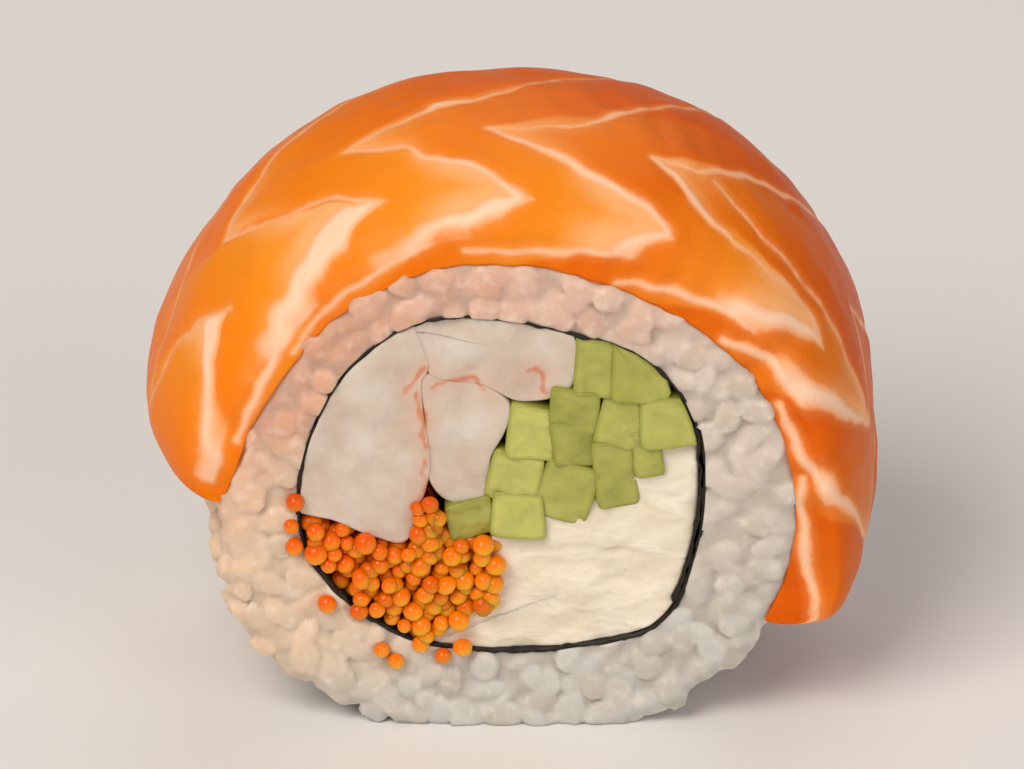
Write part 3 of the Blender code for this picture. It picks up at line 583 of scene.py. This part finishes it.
def boiled_shrimp():
    """Boiled shrimp, cut across: firm greyish-white flesh with thin pink-orange seams; it is damp, hence its sheen."""
    finish, add, shader, place = new_finish(
        "shrimp_meat",
        "boiled_shrimp",
        Roughness=0.4,
        IOR=1.4,
        Subsurface_Weight=0.3,
        Subsurface_Radius=(1.0, 0.7, 0.55),
        Subsurface_Scale=0.0012,
        Coat_Weight=0.2,
        Coat_Roughness=0.25,
    )
    cloud = add("TexNoise", {"Vector": place, "Scale": 0.3, "Detail": 5.0, "Roughness": 0.6})
    # clouding of the flesh, about 3 mm wide
    body = add("MapRange", {0: cloud, 1: 0.35, 2: 0.68})
    flesh = add("Mix", {0: body, 6: "#d8cfc5", 7: "#cbb7a5"}, **MIX)
    seam = add("Attribute", output="Fac", attribute_name="seam")
    blush = add("MapRange", {0: seam, 1: -1.3, 2: 0.0, 3: 0.0, 4: 0.35})
    flesh = add("Mix", {0: blush, 6: flesh, 7: "#e0a993"}, **MIX)
    # the seams: broken up on a scale of 0.8 mm, with a faint blush beside them
    broken = add("TexNoise", {"Vector": place, "Scale": 1.2, "Detail": 3.0})
    broken = add("Math", {0: broken, 1: 0.5, 2: seam}, **MULTIPLY_ADD)
    line = add("MapRange", {0: broken, 1: 0.08, 2: 0.42}, **SMOOTH)
    colour = add("Mix", {0: line, 6: flesh, 7: "#d48a68"}, **MIX)
    # muscle fibres, drawn about 0.8 mm wide, coarser than real, so that they show
    fibre = add("TexNoise", {"Vector": place, "Scale": 1.3, "Detail": 4.0})
    surface(shader, colour, fibre, 0.0002, 0.4)
    return finish


def cucumber_flesh():
    """Raw cucumber, cut into sticks: watery yellow-green flesh with a wet gloss.

    Each stick has its own tint and is a deeper green round its cut edges, partly the flesh's own colour and partly
    painted shade where neighbours meet; the topmost sticks are darker, partly skin-side green and partly painted shade
    near the nori.
    """
    finish, add, shader, place = new_finish(
        "raw_cucumber",
        "cucumber_flesh",
        Roughness=0.32,
        IOR=1.36,
        Subsurface_Weight=0.3,
        Subsurface_Radius=(0.8, 1.0, 0.3),
        Subsurface_Scale=0.0012,
        Coat_Weight=0.25,
        Coat_Roughness=0.18,
    )
    tint = add("Attribute", output="Fac", attribute_name="tint")
    cell = add("TexNoise", {"Vector": place, "Scale": 0.6, "Detail": 5.0})
    # the flesh's cells, drawn about 1.7 mm wide, coarser than real, so that they show
    body = add("Math", {0: cell, 1: 0.8, 2: tint}, **MULTIPLY_ADD)
    body = add("MapRange", {0: body, 1: 0.3, 2: 1.4})
    flesh = add("Mix", {0: body, 6: "#cccc74", 7: "#8a8e32"}, **MIX)
    # a deeper green round each stick's cut edges: partly the flesh's own colour, partly painted shade where neighbours
    # meet
    rim_share = add("Attribute", output="Fac", attribute_name="rim")
    rim_share = add("MapRange", {0: rim_share, 1: 0.3, 2: 1.0, 3: 0.0, 4: 0.7})
    colour = add("Mix", {0: rim_share, 6: flesh, 7: "#7e8422"}, **MIX)
    surface(shader, colour, cell, 0.0003, 0.4)
    return finish


def cream_cheese():
    """Cream cheese, smeared by the knife: matt, dense cream white with soft streaks that run level."""
    finish, add, shader, place = new_finish(
        "smeared_cheese",
        "cream_cheese",
        Roughness=0.5,
        IOR=1.45,
        Subsurface_Weight=0.25,
        Subsurface_Radius=(1.0, 0.85, 0.6),
        Subsurface_Scale=0.001,
    )
    # streaks of the knife, about 1.7 mm high and twice as long
    level = add("Mapping", {"Vector": place, "Scale": (0.45, 1.0, 1.0)})
    smear = add("TexNoise", {"Vector": level, "Scale": 0.6, "Detail": 5.0, "Distortion": 0.6})
    streak = add("MapRange", {0: smear, 1: 0.32, 2: 0.68})
    colour = add("Mix", {0: streak, 6: "#e2d7c0", 7: "#f3ebda"}, **MIX)
    surface(shader, colour, smear, 0.0006, 0.5)
    return finish


def orange_roe():
    """Flying-fish roe: clear wet orange beads with small sharp glints.

    They are brighter to the right and some are redder. Each bead's low side is brighter as painted light, as a clear
    egg gathers the light, and the depths between them are a dark red painted shade.
    """
    finish, add, shader, place = new_finish(
        "fish_roe",
        "orange_roe",
        Roughness=0.2,
        IOR=1.36,
        Specular_IOR_Level=0.25,
        Subsurface_Weight=0.6,
        Subsurface_Radius=(1.0, 0.4, 0.08),
        Subsurface_Scale=0.0012,
        Coat_Weight=0.25,
        Coat_Roughness=0.06,
    )
    tint = add("Attribute", output="Fac", attribute_name="tint")
    low = add("Attribute", output="Fac", attribute_name="low")
    x, _, z = add("SeparateXYZ", {0: place}).node.outputs
    side = add("Math", {0: z, 1: -0.55, 2: x}, **MULTIPLY_ADD)
    side = add("MapRange", {0: side, 1: -21.0, 2: -10.0}, **SMOOTH)
    body = add("Mix", {0: side, 6: "#ee6206", 7: "#f47c08"}, **MIX)
    # painted light: each bead's low side is brighter, as a clear egg gathers the light that falls on its top
    bright = add("Mix", {0: side, 6: "#ffa020", 7: "#ffb42a"}, **MIX)
    colour = add("Mix", {0: low, 6: body, 7: bright}, **MIX)
    # tint runs from 0 to 1 over the beads, and is 3 on the core below them, which is painted dark red as the shade in
    # the depths between the beads
    red = add("MapRange", {0: tint, 1: 0.6, 2: 1.0, 3: 0.0, 4: 0.5})
    colour = add("Mix", {0: red, 6: colour, 7: "#b83200"}, **MIX)
    deep = add("MapRange", {0: tint, 1: 1.5, 2: 2.5})
    colour = add("Mix", {0: deep, 6: colour, 7: "#8c1800"}, **MIX)
    # each bead's skin, uneven on a scale of 1 mm
    yolk = add("TexNoise", {"Vector": place, "Scale": 1.0, "Detail": 2.0})
    surface(shader, colour, yolk, 0.0001, 0.3)
    return finish


# ---------------------------------------------------------------- pieces


def line_margin(here, lines):
    """How far inside the nearest of some tapering lines each point is: half width there less its distance, in mm."""
    margin = np.full(here.shape[:-1], -3.0)
    for line in lines:
        for start, end in zip(line, line[1:]):
            step = end[:2] - start[:2]
            share = np.clip((here - start[:2]) @ step / (step @ step), 0.0, 1.0)
            away = np.linalg.norm(here - start[:2] - share[..., None] * step, axis=-1)
            margin = np.maximum(margin, start[2] + (end[2] - start[2]) * share - away)
    return margin


def bend_fill(here, reach):
    """How deep inside a bend of the fat each point is: its paleness times 1 - (a + b) / reach, 0 outside the arms.

    a and b are the point's place along the bend's two arms, each counted in lengths of that arm.
    """
    deepest = np.zeros(here.shape[:-1])
    for bend, first, second, paleness in FAT_FILLS:
        bend, first, second = (np.asarray(point) * (SALMON_MM_PER_DEGREE, 1.0) for point in (bend, first, second))
        arms = np.stack((first - bend, second - bend), 1)
        share = (here - bend) @ np.linalg.inv(arms).T
        inside = smooth_step(0.5 + 9 * share.min(-1))
        deepest = np.maximum(deepest, paleness * inside * np.clip(1 - share.sum(-1) / reach, 0, 1))
    return deepest


def make_salmon(finish):
    """The slice draped over the rice.

    Each section runs up the near cut edge, over the top, down the far edge and back underneath. The edges are as
    high as SALMON_EDGES says; between them the slice is edge + (full - edge) (1 - |y/w|^2.3)^(1/2.3) thick. Both
    tips round off, the left one bluntly, and the tail on the right ends on a slant: its skin side stops short of its
    underside. The edges wander, and the fat lines lie in shallow grooves.
    """
    stations, wall, top, under = 466, 12, 126, 8
    mm_per_turn = SALMON_MM_PER_DEGREE / DEG
    reach = (SALMON_LEFT_END - SALMON_RIGHT_END) * mm_per_turn
    turn = np.linspace(0, np.pi / 2, 12)
    right = SALMON_TIPS[0] * (1 - np.cos(turn))
    left = reach - SALMON_TIPS[1] * (1 - np.cos(turn[::-1]))
    body = np.linspace(right[-1], left[0], stations)[1:-1]
    place = np.concatenate((right, body, left))
    share = np.concatenate((np.sin(turn), np.ones(len(body)), np.sin(turn[::-1]) ** 0.7))[:, None]
    cosine = np.cos(np.linspace(0, np.pi, top))
    rise = np.arange(wall) / wall
    across = np.concatenate((-np.ones(wall), -cosine, np.ones(wall), np.linspace(1, -1, under + 2)[1:-1]))[None]
    pillow = (1 - np.abs(cosine) ** SALMON_PILLOW) ** (1 / SALMON_PILLOW)
    pillow = np.concatenate((np.zeros(wall), pillow, np.zeros(wall + under)))[None]
    height = np.concatenate((rise, np.ones(top), rise[::-1], np.zeros(under)))[None]
    track = np.stack((place, 0 * place, 0 * place), -1)
    near = SALMON_HALF + 0.3 * lumps(track, 9.0, 3) + 0.12 * lumps(track, 3.0, 4)
    far = SALMON_HALF + 0.3 * lumps(track, 8.0, 5) + 0.12 * lumps(track, 3.0, 6)
    y = across * np.where(across < 0, near[:, None], far[:, None])
    start = SALMON_RIGHT_END + place[:, None] / mm_per_turn
    to_end = 1 - np.clip(place / SALMON_TAIL, 0, 1)[:, None]
    edge_walk = np.stack((3.0 + 0 * across, across * HALF, 0 * across), -1)
    to_tips = np.clip(np.abs(place / reach - 0.5) * 2, 0, 1)[:, None] ** 6
    wander = SALMON_TIP_WANDER * to_tips * lumps(edge_walk, 9.0, 8)
    angle = start - 1.0 * DEG * to_end * (1 - across**2) + wander
    full, edge = wheel(SALMON_THICKNESSES, angle), wheel(SALMON_EDGES, angle)
    bulge = pillow * (full - edge)
    level = share * (height * edge + bulge) + (1 - share) * (edge + bulge) / 2
    angle = angle + SALMON_TAIL_SLANT * to_end * level / full
    drop = edge + GAP - SALMON_UNDERSIDE
    along = across * SALMON_HALF + np.sign(across) * drop * (1 - height)
    here = np.stack((angle / DEG * SALMON_MM_PER_DEGREE, np.minimum(along, 11.6)), -1)
    spot = np.concatenate((here, 0 * here[..., :1]), -1)
    here = here + FAT_WANDER * np.stack((lumps(spot, 2.6, 11), lumps(spot, 2.6, 12)), -1)
    lines = [np.asarray(line) * (SALMON_MM_PER_DEGREE, 1.0, 1.0) for line in FAT_LINES]
    fat = line_margin(here, lines)
    flat = rice_skin(angle, y, GAP)
    relief = 0.14 * lumps(flat, 7.0, 9) + 0.06 * lumps(flat, 2.6, 10)
    groove = -FAT_GROOVE * np.exp(-((fat - 0.05) ** 2) / 0.12)
    lift = SALMON_UNDERSIDE + height * drop + pillow * (full - edge + relief + groove)
    middle = SALMON_UNDERSIDE + (drop + bulge) / 2
    points = rice_skin(angle, y, middle + share * (lift - middle))
    values = {"fat": fat, "fill": bend_fill(here, 1.3), "glow": bend_fill(here, 2.6)}
    make_piece("salmon_slice", points.reshape(-1, 3), grid_faces(*y.shape), finish, ("salmon",), values)


def rice_loop(stations):
    """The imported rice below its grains, with the outward direction at each point.

    A section runs from the nori out along the near cut, round a quarter circle, along the outside, round another
    quarter circle, in along the far cut and back along the nori. Under the salmon it rises to the slice's underside
    and its grains, which nobody sees there, stay low.
    """
    face, corner, outside, hole = 26, 6, 58, 6
    around = np.linspace(0, TURN, stations, endpoint=False)[:, None]
    half = HALF - RICE_FACE_SINK
    turn = np.linspace(0, np.pi / 2, corner + 2)[1:-1]
    along = np.linspace(-1, 1, outside) * (half - RICE_CORNER)
    y = np.concatenate((np.full(face, -half), -half + RICE_CORNER * (1 - np.cos(turn)), along))
    y = np.concatenate((y, -y[: face + corner][::-1], np.linspace(half, -half, hole + 2)[1:-1]))[None]
    sunk = np.concatenate((np.full(face, RICE_CORNER), RICE_CORNER * (1 - np.sin(turn))))
    sunk = np.concatenate((sunk, np.zeros(outside), sunk[::-1], np.full(hole, RICE_CORNER)))[None]
    out = np.concatenate((np.linspace(0, 1, face), np.ones(corner)))
    out = np.concatenate((out, np.ones(outside), out[::-1], np.zeros(hole)))[None]
    tilt = np.concatenate((np.zeros(face), np.sin(turn)))
    tilt = np.concatenate((tilt, np.ones(outside), tilt[::-1], np.full(hole, -1.0)))[None]
    covered = smooth_step((np.cos(around - (SALMON_LEFT_END + SALMON_RIGHT_END) / 2) + 0.3) / 0.1)
    skin = rice_skin(around, y, -RICE_SIDE_SINK * (1 - covered) + RICE_UNDER_SALMON * covered - sunk)
    radial = rice_skin(around, y, 1.0) - rice_skin(around, y, 0.0)
    _, layer = nori_layers(around)
    x, z = rim(NORI_CENTRE, NORI_RADII, around, layer + NORI_SHEET / 2)
    bore = np.stack(np.broadcast_arrays(x, y, z), -1)
    points = bore + (skin - bore) * out[..., None]
    facewards = np.sqrt(np.maximum(0.0, 1 - tilt**2)) * np.sign(y)
    sideways = radial * (tilt * (1 - 0.9 * covered * (tilt > 0)))[..., None]
    return points, sideways + np.stack(np.broadcast_arrays(0.0, facewards, 0.0), -1), y.shape[1]


def face_grains(draw, side):
    """Grains on one cut face: rings from the outline inwards, one about every 2 mm, strewn and turned."""
    centres, headings = [], []
    for ring, inset in enumerate(CUT_RINGS):
        count = int(TURN * (CUT_RING_RADIUS - inset) / CUT_GRAIN_STEP)
        angle = TURN * (np.arange(count) + draw.uniform(-0.35, 0.35, count) + 0.5 * (ring % 2)) / count
        x, z = rim(RICE_CENTRE, RICE_RADII, angle, -inset + draw.uniform(-0.4, 0.4, count))
        around = np.arctan2(z - NORI_CENTRE[1], x - NORI_CENTRE[0])
        _, layer = nori_layers(around)
        least = rim(NORI_CENTRE, NORI_RADII, around, layer + 0.3)
        reach = np.hypot(x - NORI_CENTRE[0], z - NORI_CENTRE[1])
        keep = reach > np.hypot(least[0] - NORI_CENTRE[0], least[1] - NORI_CENTRE[1])
        depth = side * (HALF - RICE_FACE_SINK - draw.uniform(0.7, 1.0, count))
        centres.append(np.stack((x, depth, z), -1)[keep])
        turn = draw.uniform(0, TURN, count)
        heading = np.stack((np.cos(turn), draw.uniform(-1.6, 1.6, count), np.sin(turn)), -1)
        headings.append(heading[keep])
    return np.concatenate(centres), np.concatenate(headings)


def outside_grains(draw):
    """Grains on the bare outside: lines along the roll 1.9 mm apart, one about every 2.6 mm, strewn and turned."""
    start, end = SALMON_LEFT_END - 5 * DEG, SALMON_RIGHT_END + TURN + 5 * DEG
    lines = int((end - start) * SIDE_RADIUS / SIDE_LINE_STEP)
    angle, y = np.meshgrid(np.linspace(start, end, lines), np.linspace(-10.9, 10.9, 10))
    y = y + 1.2 * (np.arange(lines) % 2)[None] - 0.6
    angle = angle + draw.uniform(-1.6, 1.6, angle.shape) * DEG
    y = np.clip(y + draw.uniform(-0.6, 0.6, y.shape), -11.3, 11.3)
    centres = rice_skin(angle, y, -RICE_SIDE_SINK - draw.uniform(0.4, 0.85, y.shape)).reshape(-1, 3)
    normals = (rice_skin(angle, y, 1.0) - rice_skin(angle, y, 0.0)).reshape(-1, 3)
    turn = draw.uniform(0, np.pi, angle.size)[:, None]
    side = np.cross(normals, (0.0, 1.0, 0.0))
    headings = np.cos(turn) * side + np.sin(turn) * np.array((0.0, 1.0, 0.0))
    return centres, headings + normals * draw.uniform(-1.0, 1.0, angle.size)[:, None]


def make_rice(finish):
    """The rice: true-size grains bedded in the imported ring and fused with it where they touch.

    Each point moves out to the highest grain above it. A grain is a turned ellipsoid, met along the outward
    direction; heights join as log(1 + sum of exp(k height)) / k with k = GRAIN_JOIN, which fills the creases a little.
    On the cut faces, which a knife pressed, the relief is lower.
    """
    stations = 640
    points, outwards, columns = rice_loop(stations)
    points, outwards = points.reshape(-1, 3), outwards.reshape(-1, 3)
    draw = np.random.default_rng(8)
    near, near_heading = face_grains(draw, -1)
    far, far_heading = face_grains(draw, 1)
    outside, heading = outside_grains(draw)
    centres = np.concatenate((near, far, outside))
    headings = np.concatenate((near_heading, far_heading, heading))
    turned = facing(draw.normal(size=centres.shape), headings)
    sizes = np.asarray(GRAIN) * draw.uniform(0.82, 1.15, centres.shape)
    tints = draw.uniform(0, 1, len(centres))
    total, tinted = np.ones(len(points)), np.full(len(points), 0.5)
    for centre, axes, size, tint in zip(centres, turned, sizes, tints):
        close = np.flatnonzero(np.abs(points - centre).max(1) < GRAIN_REACH)
        away = (points[close] - centre) @ axes.T * (2 / size)
        along = outwards[close] @ axes.T * (2 / size)
        a, b, c = (along * along).sum(1), (along * away).sum(1), (away * away).sum(1) - 1
        root = b * b - a * c
        rise = np.where(root > 0, (np.sqrt(np.maximum(root, 0)) - b) / a, -1.0)
        weight = np.exp(GRAIN_JOIN * np.clip(rise, -1.0, 1.2)) * (root > 0)
        total[close] += weight
        tinted[close] += weight * tint
    height = np.log(total) / GRAIN_JOIN
    level = 0.07 * lumps(points, 1.3, 31) + 0.1 * lumps(points, 3.1, 32)
    pressed = np.where(np.abs(outwards[:, 1]) > 0.5, RICE_CUT_RELIEF, 1.0)
    points = points + outwards * (height * pressed + level * np.minimum(1, height / 0.2))[:, None]
    # grains level off softly just past the cut planes, and flat on the floor
    over = np.maximum(np.abs(points[:, 1]) - HALF + 0.1, 0.0)
    points[:, 1] -= np.sign(points[:, 1]) * (over - 0.3 * (1 - np.exp(-over / 0.3)))
    points[:, 2] = np.maximum(points[:, 2], 0.0)
    # how deep each point lies between the grains, for the painted shade in the creases
    values = {"tint": tinted / total, "crease_shade": np.clip(1 - height / 0.35, 0, 1)}
    make_piece("rice_ring", points, grid_faces(stations, columns, round_rows=True), finish, ("rice",), values)


def make_nori(finish):
    """The sheet: a spiral of a little over one turn, 0.2 mm thick give or take a half, wavy, with frayed cut edges.

    Both ends of the sheet curl into a bead, thicker by a bump 0.5 mm high.
    """
    lap = NORI_OUTER_END - NORI_INNER_END
    stations, wide, edge = 900, 20, 3
    turn = np.linspace(0, TURN + lap, stations)[:, None]
    angle = NORI_INNER_END + turn
    inner, outer = nori_layers(angle)
    layer = np.where(turn < np.pi, inner, outer)
    along = np.linspace(-1, 1, wide)
    across = np.concatenate((along, np.ones(edge), -along, -np.ones(edge)))[None]
    down = np.linspace(1, -1, edge + 2)[1:-1]
    through_sheet = np.concatenate((np.ones(wide), down, -np.ones(wide), -down))[None]
    track = np.stack((turn * NORI_REACH, 0 * turn, 0 * turn), -1)
    y = across * (HALF - 0.24 + 0.1 * lumps(track, 1.6, 41) + 0.08 * lumps(track, 5.0, 42))
    spot = np.stack(np.broadcast_arrays(turn * NORI_REACH, y, 0 * y), -1)
    thick = NORI_SHEET * (1 + 0.5 * lumps(spot, 2.2, 43) + 0.35 * lumps(spot, 0.9, 45))
    to_end = np.minimum(turn, TURN + lap - turn) * NORI_REACH
    bead = 0.5 * np.exp(-(((to_end - 0.6) / 0.5) ** 2))
    wave = 0.1 * lumps(track, 3.2, 44) + 0.08 * lumps(track, 1.1, 46)
    tip = np.sqrt(np.minimum(1.0, to_end / 0.3))
    lift = layer + wave + through_sheet * (np.maximum(thick, 0.1) + bead) / 2 * tip
    x, z = rim(NORI_CENTRE, NORI_RADII, angle, lift)
    points = np.stack(np.broadcast_arrays(x, y, z), -1)
    make_piece("nori_ribbon", points.reshape(-1, 3), grid_faces(*y.shape), finish, ("nori",))


def edge_share(points, outline, reach):
    """1 on the outline in the cut plane, falling to 0 at reach inside it."""
    flat = points[:, (0, 2)]
    nearest = np.full(len(flat), 9.0)
    for x, z in outline:
        nearest = np.minimum(nearest, np.hypot(flat[:, 0] - x, flat[:, 1] - z))
    return np.clip(1 - nearest / reach, 0, 1)


def make_shrimp(finish):
    """The three shrimp pieces, pressed into one another, nearly flat at the cuts, with pink seams where they meet."""
    seams = [np.asarray(seam) for seam in SHRIMP_SEAMS]
    for i, (name, corners) in enumerate(SHRIMP_OUTLINES.items()):
        heart = np.asarray(SHRIMP_HEARTS[name])
        outline = within_nori(heart + (through(corners, 170) - heart) * SHRIMP_SWELL, 0.0)
        rough = ((0.22, 6.0), (0.08, 2.4))
        points, faces = filling(outline, heart, HALF - 0.2 - 0.07 * i, 0.2, 0.0, rough, 50, rows=30)
        stray = 0.15 * np.stack((lumps(points, 1.2, 61), lumps(points, 1.2, 62)), -1)
        seam = line_margin(points[:, (0, 2)] + stray, seams)
        make_piece(name + "_flesh", points, faces, finish, (name,), {"seam": seam})


def make_cucumber(finish):
    """The cucumber sticks: uneven four-sided sections, each pushed out of square and cut a little askew.

    A section is the square max(|u|, |v|) = 1 with softened corners, stretched between four strewn corners. The two
    topmost sticks are darker, partly skin-side green and partly painted shade near the nori.
    """
    draw = np.random.default_rng(8)
    around = np.linspace(0, TURN, 64, endpoint=False)
    u = np.sign(np.cos(around)) * np.abs(np.cos(around)) ** STICK_SQUARENESS
    v = np.sign(np.sin(around)) * np.abs(np.sin(around)) ** STICK_SQUARENESS
    for i, (left, right, bottom, top) in enumerate(STICKS, 1):
        tilt = draw.uniform(-13, 13) * DEG
        shove = draw.uniform(-STICK_SHOVE, STICK_SHOVE, (2, 2, 2))
        recess = draw.uniform(0.0, 0.36)
        slope = draw.uniform(-0.16, 0.16, 2)
        heart = np.array(((left + right) / 2, (bottom + top) / 2))
        x, z = (right - left + STICK_SWELL) / 2 * u, (top - bottom + STICK_SWELL) / 2 * v
        square = np.stack((x * np.cos(tilt) - z * np.sin(tilt), x * np.sin(tilt) + z * np.cos(tilt)), -1)
        shares = np.stack((1 - u, 1 + u))[:, None] * np.stack((1 - v, 1 + v))[None] / 4
        outline = within_nori(heart + square + np.einsum("abn,abc->nc", shares, shove), 0.0)
        rough = ((0.14, 2.4), (0.07, 0.9))
        points, faces = filling(outline, heart, HALF - recess, 0.14, 0.05, rough, 80 + 2 * i, rows=12)
        cut = np.minimum(1.0, np.abs(points[:, 1]) / (HALF - 1.5)) ** 8
        points[:, 1] += (points[:, (0, 2)] - heart) @ slope * cut * np.sign(points[:, 1])
        # the topmost sticks get a darker tint: partly skin-side green, partly painted shade near the nori
        tint = np.full(len(points), 0.75 * draw.uniform(0, 1) + 0.4 * (top > TOPMOST))
        # the rim value marks each stick's cut edges, deeper green partly of its own and partly as painted shade where
        # neighbours meet
        values = {"tint": tint, "rim": edge_share(points, outline, 0.55)}
        make_piece(f"cucumber_stick_{i:02d}", points, faces, finish, (f"cucumber_{i:02d}",), values)


def make_cheese(finish):
    """The cream cheese, pressed into the room below the cucumber, with a softly smeared cut face."""
    outline = within_nori(through(CHEESE_OUTLINE, 220), 0.0)
    rough = ((0.16, 6.0), (0.09, 2.4), (0.04, 0.9))
    points, faces = filling(outline, CHEESE_HEART, HALF - 0.58, 0.3, 0.0, rough, 126, rows=40)
    make_piece("cheese_smear", points, faces, finish, ("cream_cheese",))


def bead_places(draw, side):
    """Bead centres on one face: three layers, each of rows 1.1 mm apart with a bead every 1.3 mm, strewn.

    Those inside the roe's outline are kept, by counting how often a line to the left of each one crosses it.
    """
    outline = within_nori(through(ROE_OUTLINE, 120), 0.1)
    found = []
    for layer in range(3):
        row, column = np.meshgrid(np.arange(15), np.arange(14), indexing="ij")
        x = -16.6 + BEAD_STEP * (column + 0.5 * (row % 2)) + 0.5 * layer
        x = x + draw.uniform(-BEAD_STRAY, BEAD_STRAY, row.shape)
        z = 4.2 + BEAD_ROW * row + 0.4 * layer + draw.uniform(-BEAD_STRAY, BEAD_STRAY, row.shape)
        y = HALF - 0.1 - draw.uniform(-0.3, 0.5, row.shape) - BEAD_LAYER * layer
        found.append(np.stack((x, side * y, z), -1).reshape(-1, 3))
    spots = np.concatenate(found)
    inside = np.zeros(len(spots), bool)
    for (ax, az), (bx, bz) in zip(outline, np.roll(outline, -1, 0)):
        crosses = (az > spots[:, 2]) != (bz > spots[:, 2])
        inside ^= crosses & (spots[:, 0] < ax + (bx - ax) * (spots[:, 2] - az) / (bz - az + 1e-12))
    nearest = np.full(len(spots), 9.0)
    for x, z in outline:
        nearest = np.minimum(nearest, np.hypot(spots[:, 0] - x, spots[:, 2] - z))
    spots = spots[inside & (nearest > 0.3)]
    loose = np.array([(x, side * (HALF + 0.1), z) for x, z in LOOSE_BEADS])
    return np.concatenate((spots, loose))


def make_roe(finish):
    """The roe: a core through the roll, set back 1.6 mm and painted dark red as the shade in the depths between the
    beads, and true-size beads heaped on both cut faces.

    Each bead's low side is marked as bright, painted light, as a clear egg gathers the light that falls on its top; the
    sides that face into the heap get none of it, as painted shade where the beads touch.
    """
    draw = np.random.default_rng(18)
    outline = within_nori(through(ROE_OUTLINE, 120), 0.0)
    core, core_faces = filling(outline, ROE_HEART, HALF - 1.6, 0.4, 0.2, ((0.3, 1.6),), 140, rows=16)
    centres = np.concatenate((bead_places(draw, -1), bead_places(draw, 1)))
    rings, sides = 9, 14
    turned = facing(draw.normal(size=(len(centres), 3)), draw.normal(size=(len(centres), 3)))
    sizes = BEAD * draw.uniform(0.74, 1.12, (len(centres), 1)) * draw.uniform(0.9, 1.08, (len(centres), 3))
    points, faces = copies(ball(rings, sides), rings, sides, centres, turned, sizes)
    count = (rings + 1) * sides
    tint = np.repeat(draw.uniform(0, 1, len(centres)), count)
    from_centre = (points - np.repeat(centres, count, 0)) / (BEAD / 2)
    outward = from_centre[:, 1] * np.sign(points[:, 1])
    # painted light on each bead's low side, cut off as painted shade on the sides that face into the heap
    low = smooth_step(0.5 - 0.8 * (from_centre @ (-0.35, 0.0, 0.85))) * smooth_step((outward + 0.4) / 0.7)
    values = {
        "tint": np.concatenate((np.full(len(core), 3.0), tint)),
        "low": np.concatenate((np.zeros(len(core)), low)),
    }
    points = np.concatenate((core, points))
    make_piece("roe_heap", points, np.concatenate((core_faces, faces + len(core))), finish, ("roe",), values)


# ---------------------------------------------------------------- stage


def make_floor():
    """A plain pale floor, 3 m square."""
    mesh = bpy.data.meshes.new("floor")
    reach = 1.5
    corners = [(-reach, -reach, 0), (reach, -reach, 0), (reach, reach, 0), (-reach, reach, 0)]
    mesh.from_pydata(corners, [], [(0, 1, 2, 3)])
    finish = bpy.data.materials.new("pale_floor")
    finish.use_nodes = True
    shader = finish.node_tree.nodes["Principled BSDF"]
    shader.inputs["Base Color"].default_value = linear("#e6e6e8")
    shader.inputs["Roughness"].default_value = 0.7
    mesh.materials.append(finish)
    floor = bpy.data.objects.new("floor", mesh)
    bpy.context.scene.collection.objects.link(floor)


def aim(obj, place, target):
    """Puts a light or the camera at a place, looking at a target."""
    look = np.asarray(target) - np.asarray(place)
    away = -look / np.linalg.norm(look)
    right = np.cross((0.0, 0.0, 1.0), away)
    right /= np.linalg.norm(right)
    up = np.cross(away, right)
    rows = [[*map(float, row), float(p)] for row, p in zip(np.stack((right, up, away), 1), place)]
    obj.matrix_world = Matrix([*rows, [0.0, 0.0, 0.0, 1.0]])


def make_light(name, place, size, power, colour):
    """A soft square lamp that looks at the roll."""
    lamp = bpy.data.lights.new(name, "AREA")
    lamp.size = size
    lamp.energy = power
    lamp.color = linear(colour)[:3]
    obj = bpy.data.objects.new(name, lamp)
    bpy.context.scene.collection.objects.link(obj)
    aim(obj, place, (0.0, 0.0, 0.02))


def make_camera():
    """The photograph's viewing angle: straight on to the cut face from 28.5 degrees above, through a long lens."""
    lens = bpy.data.cameras.new("camera")
    lens.sensor_width = 36.0
    lens.lens = 390.0
    lens.clip_start = 0.05
    lens.clip_end = 20.0
    camera = bpy.data.objects.new("camera", lens)
    bpy.context.scene.collection.objects.link(camera)
    rise = 28.5 * DEG
    target = np.array((0.0, 0.0, 0.0215))
    aim(camera, target + 0.8 * np.array((0.0, -np.cos(rise), np.sin(rise))), target)
    bpy.context.scene.camera = camera


def make_stage():
    """Floor, soft studio light and camera."""
    make_floor()
    make_light("key", (-0.35, -0.45, 0.65), 0.5, 5.6, "#fff4e6")
    make_light("fill", (0.5, -0.55, 0.35), 0.6, 2.0, "#fff6ee")
    make_light("back", (0.1, 0.5, 0.5), 0.5, 1.0, "#fff8f0")
    world = bpy.data.worlds.new("studio")
    world.use_nodes = True
    world.node_tree.nodes["Background"].inputs["Color"].default_value = linear("#f0ece6")
    world.node_tree.nodes["Background"].inputs["Strength"].default_value = 0.24
    bpy.context.scene.world = world
    bpy.context.scene.view_settings.view_transform = "Standard"
    make_camera()


def main():
    make_rice(cooked_rice())
    make_nori(nori_sheet())
    make_salmon(salmon_flesh())
    make_shrimp(boiled_shrimp())
    make_cucumber(cucumber_flesh())
    make_cheese(cream_cheese())
    make_roe(orange_roe())
    make_stage()


main()
